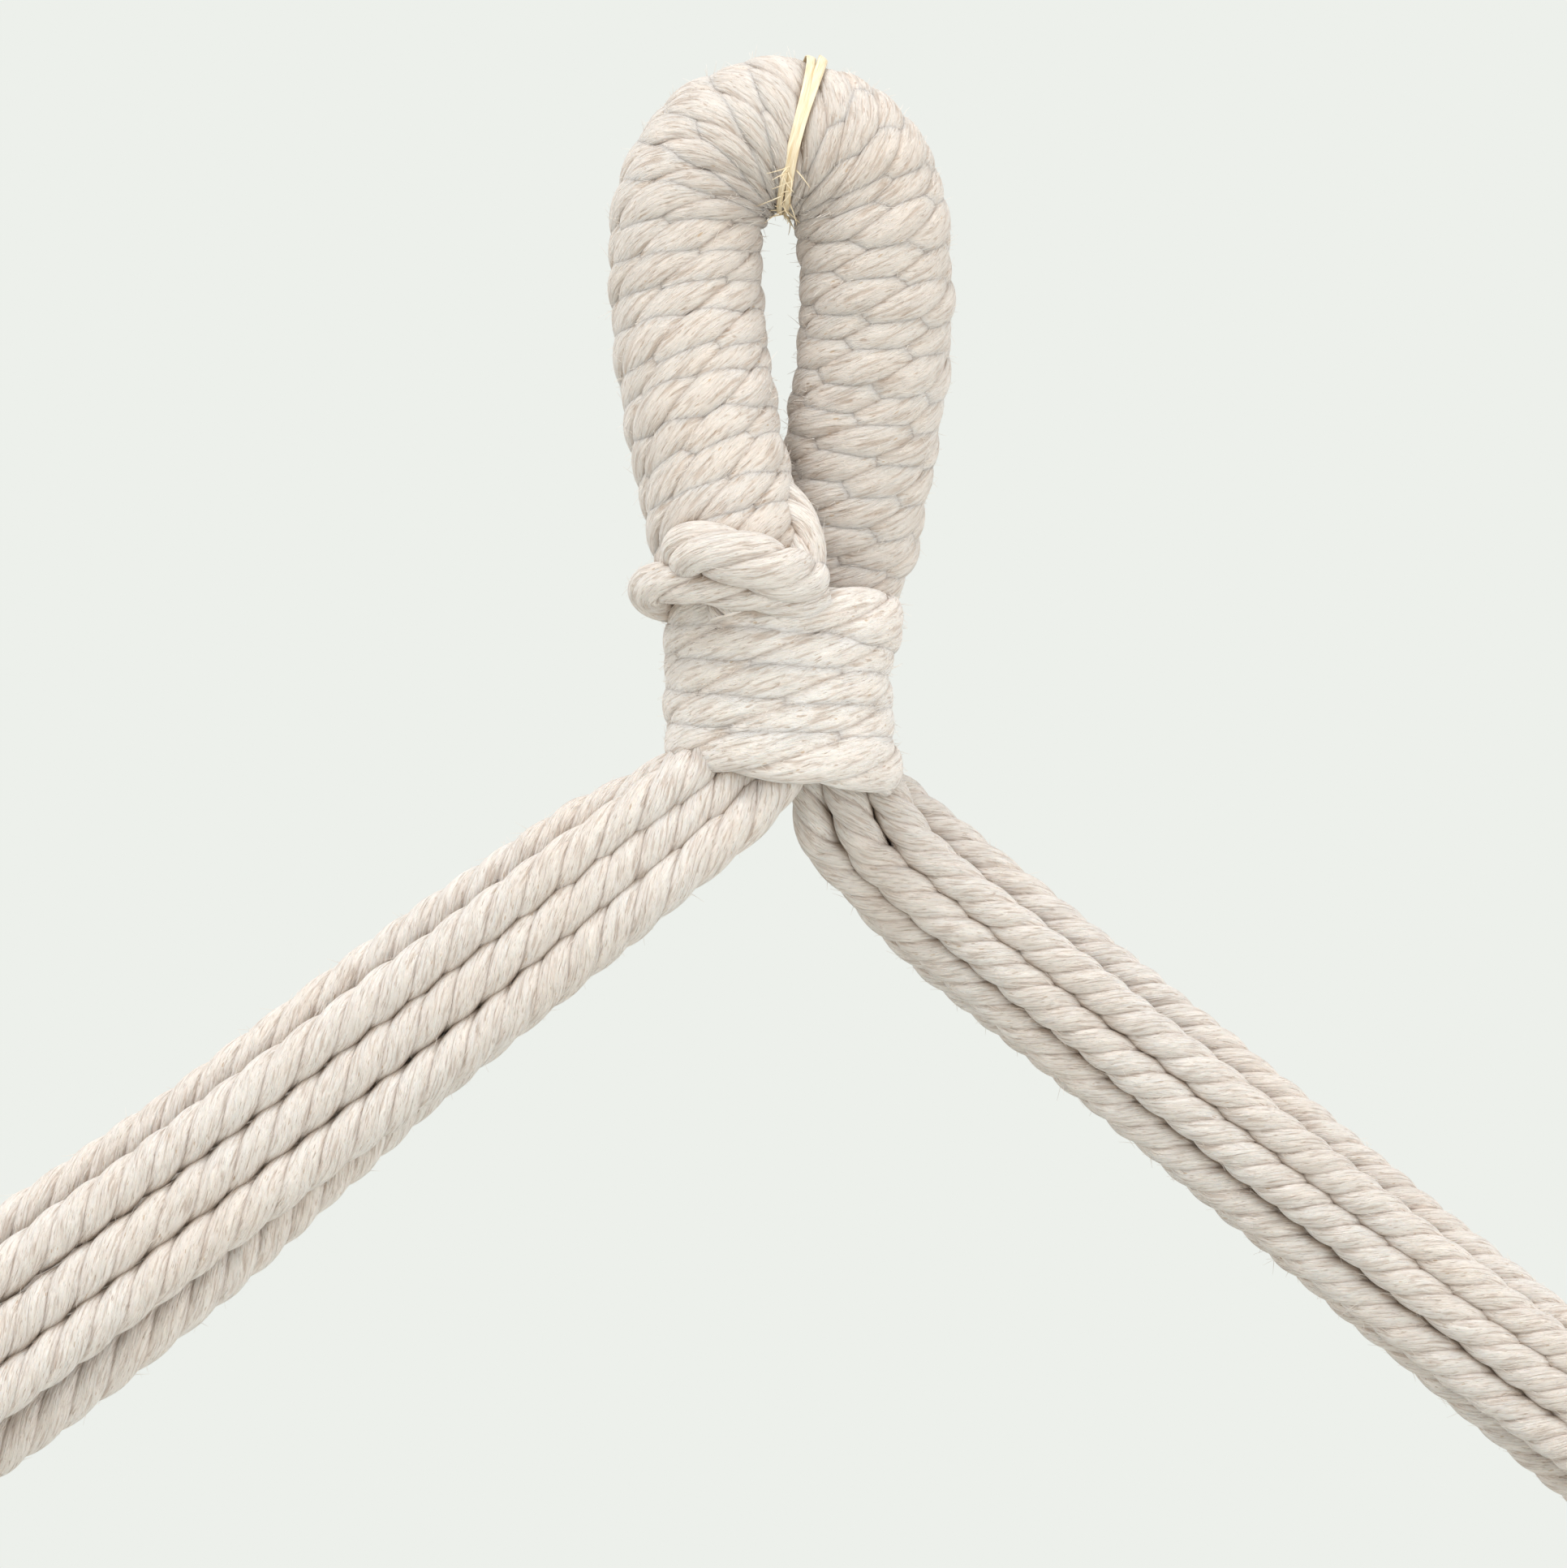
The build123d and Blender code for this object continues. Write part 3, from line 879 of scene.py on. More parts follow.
@dataclass
class HangingEye:
    """The eye that the planter hangs from: folded cords under a close wrap, and a raffia tie.

    Attributes:
        guide: Control points of the loop's centre line, from the left foot over the crown to the right.
        line_step: Distance between the points of that line.
        crown: Centre of the arch, across and up.
        arch_radius: Of the centre line round the crown.
        foot: Height at which the wraps end, in the neck.
        core_ring: From the loop's centre line to each folded cord's.
        wound_radius: From the loop's centre line to the wrapping cord's.
        leg_spacing: Between turns down the legs.
        arch_spacing: Between turns at the centre line round the arch.
        spacing_drift: Unevenness of the spacing, as a share.
        bulge_drift: Unevenness of the winding's radius.
        wrap_start: Angle at which each wrap begins at the tie, from the front, in radians.
        tuck: How deep a wrap's end is drawn in, and over what length.
        valley_shade: How much painted shade darkens the sides of the wrapping cord, between close turns.
        pinch: Least and greatest width of a turn, as a share of its width on the legs.
        wrap: How the wrapping cord is laid and pressed.
        inner: How the folded cords are laid.
        tie_lean: Degrees from the crown to the tie, where the two wraps meet.
        tie_radius: From the loop's centre line to the raffia.
        tie_width: Of each strip inside the loop, and how much wider it is outside.
        tie_thickness: Of each strip.
        frays: Number of frayed hairs at the foot of the tie.
    """

    guide: list[Point] = field(
        default_factory=lambda: [
            (-3.9, -8.8, -50.0), (-6.3, -6.7, -39.5), (-8.6, -4.6, -29.5), (-10.6, -2.4, -19.0),
            (-11.4, -0.9, -8.0), (-10.8, 0.0, 3.1), (-4.3, 0.0, 9.6), (4.9, 0.0, 9.6), (11.4, 0.0, 3.1),
            (12.2, 0.9, -8.0), (11.9, 2.4, -19.0), (10.2, 4.6, -29.5), (8.0, 6.7, -39.5), (5.8, 8.8, -50.0),
        ]
    )
    line_step: float = 0.05
    crown: tuple[float, float] = (0.3, -1.5)
    arch_radius: float = 11.1
    foot: float = -45.5
    core_ring: float = 3.0
    wound_radius: float = 7.65
    leg_spacing: float = 4.4
    arch_spacing: float = 3.2
    spacing_drift: Drift = Drift(0.07, 18)
    bulge_drift: Drift = Drift(0.22, 9)
    wrap_start: float = 2.6
    tuck: tuple[float, float] = (3.5, 2.5)
    valley_shade: float = 0.5
    pinch: tuple[float, float] = (0.3, 1.25)
    wrap: Lay = Lay(diameter=5.5, pitch=19.5, offset=0.3, groove=0.24, wide=1.32, high=0.74, yarn_lean=15.0)
    inner: Lay = Lay(diameter=5.0, facets=7, step=1.2)
    tie_lean: float = 12.0
    tie_radius: float = 9.75
    tie_width: tuple[float, float] = (0.75, 0.6)
    tie_thickness: float = 0.32
    frays: int = 26

    def build(self, finishes: Finishes) -> None:
        """Builds the folded cords, the two wraps and the tie.

        Args:
            finishes: The shared materials.
        """
        line = spline_points(self.guide, self.line_step)
        tie = self.centre() + self.arch_radius * self.tie_ways()[0]
        meeting = int(np.linalg.norm(line - tie, axis=1).argmin())
        above = np.flatnonzero(line[:, 2] > self.foot)
        loose = Strips()
        self.core(line, finishes)
        self.wrapping("wrap_left", line[above[0] : meeting + 1][::-1], Hand.RIGHT, 2, loose, finishes)
        self.wrapping("wrap_right", line[meeting : above[-1]], Hand.LEFT, 3, loose, finishes)
        settle(loose.piece("eye_stray_fibres", finishes.loose))
        self.raffia(line[meeting], finishes)

    def centre(self) -> np.ndarray:
        """Centre of the arch."""
        return np.array([self.crown[0], 0.0, self.crown[1]])

    def tie_ways(self) -> tuple[np.ndarray, np.ndarray]:
        """Directions at the tie: out from the arch's centre, and along the loop to the right."""
        lean = math.radians(self.tie_lean)
        return np.array([math.sin(lean), 0, math.cos(lean)]), np.array([math.cos(lean), 0, -math.sin(lean)])

    def core(self, line: np.ndarray, finishes: Finishes) -> None:
        """Builds the folded cords inside the wraps.

        Args:
            line: The loop's centre line.
            finishes: The shared materials.
        """
        axis = spaced(line, self.inner.step)
        strips = Strips()
        for number in range(4):
            turn = np.full(len(axis), math.pi / 4 + number * math.pi / 2)
            strips.cord(axis + wound(axis, turn, self.core_ring, (1, 0, 0)), self.inner, 40 + number)
        settle(strips.piece("eye_cords", finishes.cotton), "loop_core")

    def wrapping(
        self, name: str, line: np.ndarray, hand: Hand, seed: int, loose: Strips, finishes: Finishes
    ) -> None:
        """Builds one wrap, from the tie down one leg.

        Args:
            name: Name of the piece.
            line: The loop's centre line, from the tie to the foot.
            hand: Way that it winds.
            seed: Seed of its unevenness.
            loose: Where its stray fibres are added.
            finishes: The shared materials.
        """
        travel = travelled(line)
        bend = np.gradient(tangents(line), axis=0) / self.line_step
        window = np.ones(60) / 60
        bent = np.clip(np.convolve(np.linalg.norm(bend, axis=1), window, "same") * self.arch_radius, 0, 1)
        spacing = self.leg_spacing - (self.leg_spacing - self.arch_spacing) * bent
        spacing = spacing * (1 + self.spacing_drift.at(seed, travel))
        turns = (2 * math.pi * np.cumsum(self.line_step / spacing) + self.wrap_start) * hand.value
        deep, end = self.tuck
        tuck = deep * rising(travel - travel[-1] + end, end) ** 2
        outward = wound(line, turns, self.wound_radius + self.bulge_drift.at(seed + 5, travel) - tuck)
        from_centre = np.linalg.norm((line + outward - self.centre())[:, [0, 2]], axis=1)
        local = spacing * (1 + (from_centre / self.arch_radius - 1) * bent)
        pinch = np.clip(local / self.leg_spacing, *self.pinch)
        path, outward, pinch = evenly(line + outward, self.wrap.step, outward, pinch)
        strips = Strips()
        strips.cord(path, self.wrap, seed, normals=outward, valley_shade=self.valley_shade, pinch=pinch)
        loose.stray(path, self.wrap, seed, normals=outward)
        settle(strips.piece(name, finishes.wound), f"loop_{name}")

    def raffia(self, centre: np.ndarray, finishes: Finishes) -> None:
        """Builds the raffia tie round the loop, with the frayed hair at its foot.

        Args:
            centre: Where the loop's centre line meets the tie.
            finishes: The shared materials.
        """
        out, along = self.tie_ways()
        front = np.array(FRONT, float)
        angle = np.linspace(0, 2 * math.pi, 140)
        outer = np.cos(angle)
        ring = outer[:, None] * out + np.sin(angle)[:, None] * front
        strips = Strips()
        for number, (side, phase) in enumerate(((-1, 0.0), (1, 1.3))):
            sway = np.sin(angle * 2 + phase)
            reach = self.tie_radius + 0.25 * np.sin(angle * 3 + phase)
            aside = side * (0.25 + 0.4 * (1 + outer) / 2) + 0.35 * sway
            path = centre + reach[:, None] * ring + aside[:, None] * along
            normals = unit(ring + 0.5 * sway[:, None] * along)
            wide = self.tie_width[0] + self.tie_width[1] * (1 + outer) / 2
            strips.ribbon(path, normals, wide, self.tie_thickness, 60 + number)
        draw = np.random.default_rng(77)
        share = np.linspace(0, 1, 9)[:, None]
        for number in range(self.frays):
            at = math.radians(pick(draw, 115, 190))
            root = (self.tie_radius + 0.15) * (math.cos(at) * out + math.sin(at) * front)
            base = centre + root + pick(draw, -0.9, 0.9) * along
            swing = along * pick(draw, -2.2, 2.2) + front * pick(draw, 0, 1.6) - out * pick(draw, 0.2, 1.6)
            curl = along * pick(draw, -1, 1) + out * pick(draw, -1, 0.3)
            hair = base + swing * share * 1.2 + curl * share**2
            strips.ribbon(hair, np.tile(front + 0.01, (9, 1)), np.linspace(0.2, 0.06, 9), 0.08, 80 + number)
        settle(strips.piece("raffia", finishes.raffia), "raffia_tie", slot="raffia")


@dataclass
class Neck:
    """The neck below the eye: a close wrap round both legs, its finishing knot and a tail folded to a bight.

    Attributes:
        centre_x: Of the neck, across.
        half_width: From the neck's axis to the wrapping cord's centre line, across.
        half_depth: The same, from front to back.
        top: Height of the first turn's centre line.
        bottom: Height of the last turn's, at the left.
        turns: Number of turns.
        start: Azimuth at which the wrap begins, in degrees.
        slant: How much more the last turn drops for each millimetre to the right.
        width_drift: Unevenness of the winding, as a share, by its share of the wrap.
        height_drift: Unevenness of its height, in millimetres.
        bulges: Where along the wrap a turn stands out, and by how much.
        bulge_width: How far along the wrap each of them reaches.
        tuck: How deep the wrap's end is drawn in, and over what share of it.
        wrap: How the wrapping cord is laid and pressed.
        core: How the cords inside are laid.
        core_rings: Across and from front to back, the size of the ring of cords inside.
        knot: Points of the knot's cord, over the front of the left leg.
        tuck_down: Points of its end, from behind the left leg down under the wrap.
        bight: Points of the tail, out to the left and back under the wrap.
        knot_lay: How the knot's cord is laid.
        tuck_lay: How its end is laid.
        bight_lay: How the tail is laid.
    """

    centre_x: float = 0.2
    half_width: float = 12.3
    half_depth: float = 11.4
    top: float = -48.2
    bottom: float = -67.6
    turns: float = 4.861
    start: float = 150.0
    slant: float = 0.085
    width_drift: Drift = Drift(0.012, 0.22)
    height_drift: Drift = Drift(0.16, 0.3)
    bulges: tuple[tuple[float, float], ...] = ((0.943, 0.07), (0.12, 0.10))
    bulge_width: float = 0.03
    tuck: tuple[float, float] = (2.6, 0.025)
    wrap: Lay = Lay(diameter=5.6, pitch=34.0, offset=0.3, groove=0.24, wide=1.4, high=0.72, yarn_lean=11.0)
    core: Lay = Lay(diameter=5.2, facets=6, step=1.5)
    core_rings: tuple[float, float] = (9.6, 8.8)
    knot: list[Point] = field(
        default_factory=lambda: [
            (3.5, -11.0, -45.8), (1.0, -15.6, -44.8), (-4.0, -18.6, -43.0),
            (-9.0, -17.4, -41.7), (-12.0, -12.8, -42.0), (-9.0, -8.0, -43.5),
        ]
    )
    tuck_down: list[Point] = field(
        default_factory=lambda: [
            (-2.4, -8.0, -33.5), (2.2, -8.4, -37.2), (3.6, -9.8, -41.2),
            (2.6, -11.4, -45.8), (-0.5, -10.0, -50.0),
        ]
    )
    bight: list[Point] = field(
        default_factory=lambda: [
            (7.0, -8.0, -49.0), (1.5, -13.0, -47.6), (-5.0, -14.8, -46.5), (-11.0, -14.0, -45.8),
            (-15.2, -10.6, -45.8), (-16.0, -5.6, -46.9), (-13.6, -0.8, -48.0), (-9.0, 1.0, -48.4),
        ]
    )
    knot_lay: Lay = Lay(diameter=7.2, pitch=20.0, groove=0.24, high=0.92, yarn_lean=14.0)
    tuck_lay: Lay = Lay(diameter=5.6, pitch=22.0, offset=0.28, groove=0.22, yarn_lean=14.0)
    bight_lay: Lay = Lay(diameter=5.4, pitch=20.0, offset=0.28, groove=0.22, yarn_lean=14.0, step=0.4)

    def build(self, finishes: Finishes) -> None:
        """Builds the cords inside, the wrap, the knot and the tail.

        Args:
            finishes: The shared materials.
        """
        self.inside(finishes)
        loose = Strips()
        self.wrapping(loose, finishes)
        ends = {
            "finishing_knot": ((self.knot, self.knot_lay, 12, 0.5), (self.tuck_down, self.tuck_lay, 14, 1.4)),
            "tail_bight": ((self.bight, self.bight_lay, 13, None),),
        }
        for name, lengths in ends.items():
            strips = Strips()
            for points, lay, seed, turn in lengths:
                line = spline_points(points, lay.step)
                strips.cord(line, lay, seed, turn=turn)
                loose.stray(line, lay, seed)
            settle(strips.piece(name, finishes.cotton), name)
        settle(loose.piece("neck_stray_fibres", finishes.loose))

    def inside(self, finishes: Finishes) -> None:
        """Builds the twelve cords inside the wrap, pressed together: eight in a ring round four.

        Args:
            finishes: The shared materials.
        """
        strips = Strips()
        heights = np.arange(0, self.top - self.bottom + 1.5, self.core.step)
        wide, deep = self.core_rings
        for number in range(12):
            ring, share = (0.72, number / 8) if number < 8 else (0.25, number / 4 + 0.1)
            angle = share * 2 * math.pi
            x, y = self.centre_x + ring * wide * math.cos(angle), ring * deep * math.sin(angle)
            strips.cord(np.array([x, y, self.top + 0.5]) + np.outer(heights, DOWN), self.core, 120 + number)
        settle(strips.piece("neck_cords", finishes.cotton), "neck_core")

    def wrapping(self, loose: Strips, finishes: Finishes) -> None:
        """Builds the close wrap, which drops to the right at the front and more so towards its end.

        Args:
            loose: Where its stray fibres are added.
            finishes: The shared materials.
        """
        share = np.linspace(0, 1, 4000)
        angle = math.radians(self.start) + share * self.turns * 2 * math.pi
        across, deep = np.cos(angle), np.sin(angle)
        growth = 1 + self.width_drift.at(21, share)
        for where, amount in self.bulges:
            growth = growth + amount * bell(share - where, self.bulge_width)
        height = self.top + (self.bottom - self.top) * share
        height = height - self.slant * (across * self.half_width + self.half_width) * share**1.5
        height = height + self.height_drift.at(22, share)
        x = self.centre_x + self.half_width * growth * across
        path = np.stack([x, self.half_depth * growth * deep, height], axis=1)
        outward = unit(np.stack([across / self.half_width, deep / self.half_depth, 0 * share], axis=1))
        inward, end = self.tuck
        path = path - outward * (inward * rising(share - (1 - end), end) ** 2)[:, None]
        path, outward = evenly(path, self.wrap.step, outward)
        strips = Strips()
        strips.cord(path, self.wrap, 11, normals=outward, turn=0.9)
        loose.stray(path, self.wrap, 11, normals=outward)
        settle(strips.piece("neck_wrap", finishes.cotton), "neck_wrap")


@dataclass(frozen=True)
class BowlShape:
    """Sizes of the bowl, and of the cords' ways over it.

    Attributes:
        mouth: Height of its mouth.
        lane: From its centre to the centre line of a cord that lies on it.
        knot_lane: The same for a knot.
        knot_half_length: Of a knot, down the bowl.
        rim_clearance: How far a cord's corner at the rim stands out from its lane.
        rim_approach: From that corner to the last point before it.
        past_rim: Latitude and lift of the three points past the corner.
        port_inset: From a knot's end to where a cord's centre line ends in it.
        port_spread: From a knot's axis to each of its two cords.
        port_sink: How far those two lie towards the bowl.
        upper_latitude: Degrees below the mouth of the upper knots.
        lower_latitude: The same for the lower knots.
    """

    mouth: float = -185.0
    lane: float = 153.6
    knot_lane: float = 158.9
    knot_half_length: float = 9.0
    rim_clearance: float = 0.3
    rim_approach: float = 8.0
    past_rim: tuple[tuple[float, float], ...] = ((2.2, 0.8), (8.0, 1.6), (17.5, 1.6))
    port_inset: float = 3.5
    port_spread: float = 3.3
    port_sink: float = 2.2
    upper_latitude: float = 29.0
    lower_latitude: float = 56.0

    def point(self, azimuth: float, latitude: float, lift: float = 0.0) -> Point:
        """Point of the cords' lane, at an azimuth and a latitude in degrees, lifted off the bowl."""
        reach = self.lane + lift
        low = math.radians(latitude)
        return on_ring(reach * math.cos(low), azimuth, self.mouth - reach * math.sin(low))

    def knot_place(self, azimuth: float, latitude: float, down: float, along: float, out: float) -> Point:
        """Point near a knot, from millimetres down the bowl, round it and out from the knot's axis.

        Args:
            azimuth: Of the knot, in degrees.
            latitude: Of the knot, in degrees below the mouth.
            down: From its middle, down the bowl.
            along: From its axis, round the bowl.
            out: From its axis, away from the bowl.

        Returns:
            The point, in millimetres.
        """
        turn, low = math.radians(azimuth), math.radians(latitude)
        outward = np.array([math.cos(turn) * math.cos(low), math.sin(turn) * math.cos(low), -math.sin(low)])
        around = np.array([-math.sin(turn), math.cos(turn), 0.0])
        below = np.cross(around, outward)
        place = np.array([0, 0, self.mouth]) + outward * (self.knot_lane + out)
        place = place + below * down + around * along
        return tuple(float(value) for value in place)

    def port(self, azimuth: float, latitude: float, down: int, along: int) -> Point:
        """End of a cord in a knot: down is 1 at its lower end, along is 1 or -1 round the bowl."""
        reach = self.knot_half_length - self.port_inset
        return self.knot_place(azimuth, latitude, down * reach, along * self.port_spread, -self.port_sink)


BOWL_SHAPE = BowlShape()


@dataclass(frozen=True)
class Run:
    """Way of one cord from inside the neck, over the rim and down to its upper knot.

    Attributes:
        node: Name of the CAD node, and of the piece.
        bundle: Points from the neck to short of the rim.
        rim: Distance from front to back where it crosses the rim, and height of that corner above the mouth.
        past: Azimuths of the two points past the rim.
        knot: Azimuth of its upper knot.
        along: Side of the knot that it takes.
        lay: How it is laid up.
        full: Thickness inside the bundle, as a share of its usual size.
    """

    node: str
    bundle: list[Point]
    rim: tuple[float, float]
    past: tuple[float, float]
    knot: float
    along: int
    lay: Lay
    full: float = 1.0

    def route(self, bowl: BowlShape) -> list[Point]:
        """Control points of the whole cord.

        Args:
            bowl: Sizes of the bowl that it passes over.

        Returns:
            The points, from the neck to the knot, in millimetres.
        """
        side = -1 if self.bundle[-1][0] < 0 else 1
        y, height = self.rim
        x = side * math.sqrt((bowl.lane + bowl.rim_clearance) ** 2 - y * y)
        corner = np.array([x, y, bowl.mouth + height])
        back = np.array(self.bundle[-1]) - corner
        before = corner + back / np.linalg.norm(back) * bowl.rim_approach
        azimuths = (math.degrees(math.atan2(y, x)), *self.past)
        past = [bowl.point(azimuth, *place) for azimuth, place in zip(azimuths, bowl.past_rim)]
        port = bowl.port(self.knot, bowl.upper_latitude, -1, self.along)
        return [*self.bundle, tuple(before), tuple(corner), *past, port]


LEFT_RUNS = [
    Run(
        "left_cord_1",
        [(-6, -2, -60), (-9.2, -2.6, -67), (-15.6, -2.6, -71), (-23.5, -2, -74.8), (-33, -1.2, -81),
         (-51, 0.2, -93.5), (-74.2, 1.6, -111.3), (-106, 2.8, -132.6)],
        (6, 4.5), (178.0, 178.4), 180, -1, LEFT_CORD,
    ),
    Run(
        "left_cord_2",
        [(-3, -5.4, -60), (-6.6, -6, -66.4), (-13.6, -7.9, -71.2), (-32.6, -6.9, -84.7),
         (-47.5, -5.6, -95.6), (-76, -4.1, -116.6), (-106, -2.8, -138.2)],
        (-6, 4.3), (182.0, 181.6), 180, 1, LEFT_CORD,
    ),
    Run(
        "left_cord_3",
        [(-3, -2, -61), (-7, -2.6, -68), (-18.1, -2.5, -79.4), (-38, -0.2, -95.0), (-67, 1.8, -117.2),
         (-106, 4.6, -146.6)],
        (20, 5.0), (163, 152.5), 145, 1, LEFT_CORD, 1.24,
    ),
    Run(
        "left_cord_4",
        [(0.4, -5.2, -60.5), (-3.2, -6.4, -68.9), (-18.8, -8.2, -80.6), (-35.6, -6.6, -93.5),
         (-57.8, -5, -110.2), (-78.8, -4.2, -125.9), (-106, -4.8, -146.2)],
        (-20, 5.0), (197, 207.5), 215, -1, LEFT_CORD,
    ),
    Run(
        "left_cord_5",
        [(0, -2, -62.5), (-3.5, -2.6, -72), (-14.6, -2.7, -84), (-40.5, -0.3, -104.8),
         (-55.8, 0.8, -119), (-73.5, 1.9, -135.4), (-106, 5.2, -160.4)],
        (34, 5.9), (158, 148), 145, -1, LEFT_CORD,
    ),
    Run(
        "left_cord_6",
        [(3.6, -5.4, -62), (1.1, -6.8, -70.4), (-10.4, -8.8, -80.2), (-22, -7.9, -89.2),
         (-35.6, -6.6, -100.8), (-57.8, -5.1, -117.2), (-77.2, -4.5, -131.8), (-106, -5.4, -153.2)],
        (-34, 5.6), (202, 212), 215, 1, LEFT_CORD,
    ),
]
RIGHT_RUNS = [
    Run(
        "right_cord_1",
        [(6, 3.5, -60), (10.5, 5.5, -68), (19.4, 7.6, -75.5), (30.8, 7.3, -84.6), (55.7, 5.8, -104.2),
         (85.1, 4, -128.6), (106, 2.9, -144)],
        (6, 4.5), (2.0, 1.6), 0, 1, RIGHT_CORD,
    ),
    Run(
        "right_cord_2",
        [(10, 1.5, -63), (14.5, 2.4, -75), (20.5, 2.4, -81.3), (45.7, 0.5, -100.6), (71.3, -1.2, -121),
         (97.3, -2.4, -140.9), (106, -2.6, -147.5)],
        (-6, 4.5), (-2.0, -1.6), 0, -1, RIGHT_CORD,
    ),
    Run(
        "right_cord_3",
        [(8, 5.5, -63), (12, 7.6, -76), (19.8, 8.4, -84.5), (38, 7, -98.6), (67, 4.9, -120.6),
         (106, 4.8, -150.5)],
        (20, 5.2), (17, 27.5), 35, -1, RIGHT_CORD,
    ),
    Run(
        "right_cord_4",
        [(6, 1, -63), (9.6, 2, -77), (14, 2.5, -81.7), (37.1, 1, -100.3), (64, -0.9, -121.3),
         (89.7, -2.4, -140.5), (106, -4.6, -152.6)],
        (-20, 5.2), (-17, -27.5), -35, 1, RIGHT_CORD,
    ),
    Run(
        "right_cord_5",
        [(5, 8, -64), (7.5, 10.5, -79), (16.3, 10.9, -90), (38, 9.6, -106.5), (67, 7.6, -130.5),
         (93.9, 6, -152.7), (106, 5.8, -162.6)],
        (34, 6.0), (22, 32), 35, 1, RIGHT_CORD,
    ),
    Run(
        "right_cord_6",
        [(3.4, 3, -64), (4.3, 4.2, -75.9), (6.8, 4.8, -79.6), (19, 5, -90.5), (44.4, 3.6, -111.5),
         (73.6, 1.4, -134.8), (106, -4.2, -158.5)],
        (-34, 6.0), (-22, -32), -35, -1, RIGHT_CORD,
    ),
]


@dataclass
class Suspension:
    """The two bundles of six cords that carry the bowl.

    Attributes:
        runs: Ways of the twelve cords.
        bowl: Sizes of the bowl that they pass over.
        cord_diameter: Nominal thickness of a cord.
        squeezed: Share of its thickness that a cord keeps where the neck grips it.
        opening: Distance over which a cord recovers from the grip.
        bundle_end: Distance along a cord at which its bundle has opened out.
        taper: Length over which a fuller cord thins down to there.
        hidden: Points of a cord's line that lie in the neck, and so have no stray fibres.
        roots: The short ends inside the neck that two of the cords also stand for.
    """

    runs: list[Run] = field(default_factory=lambda: [*LEFT_RUNS, *RIGHT_RUNS])
    bowl: BowlShape = BOWL_SHAPE
    cord_diameter: float = 6.0
    squeezed: float = 0.88
    opening: float = 24.0
    bundle_end: float = 138.0
    taper: float = 20.0
    hidden: int = 30
    roots: dict[str, str] = field(
        default_factory=lambda: {"left_cord_1": "left_root", "right_cord_1": "right_root"}
    )

    def build(self, finishes: Finishes) -> None:
        """Builds every cord.

        Args:
            finishes: The shared materials.
        """
        loose = {"left": Strips(), "right": Strips()}
        for number, run in enumerate(self.runs):
            line = spline_points(run.route(self.bowl), run.lay.step)
            travel = travelled(line)
            width = self.squeezed + (1 - self.squeezed) * (1 - np.exp(-travel / (self.opening / 3)))
            width = width * (1 + (run.full - 1) * rising(self.bundle_end - travel, self.taper))
            strips = Strips()
            strips.cord(line, run.lay, 200 + 13 * number, width=width)
            loose[run.node.split("_")[0]].stray(line[self.hidden :], run.lay, 300 + number)
            piece = strips.piece(run.node, finishes.cotton)
            settle(piece, run.node, *([self.roots[run.node]] if run.node in self.roots else []))
            log.info("%s: %.1f mm long", run.node, length_of(line))
        for side, strips in loose.items():
            settle(strips.piece(f"{side}_stray_fibres", finishes.loose))


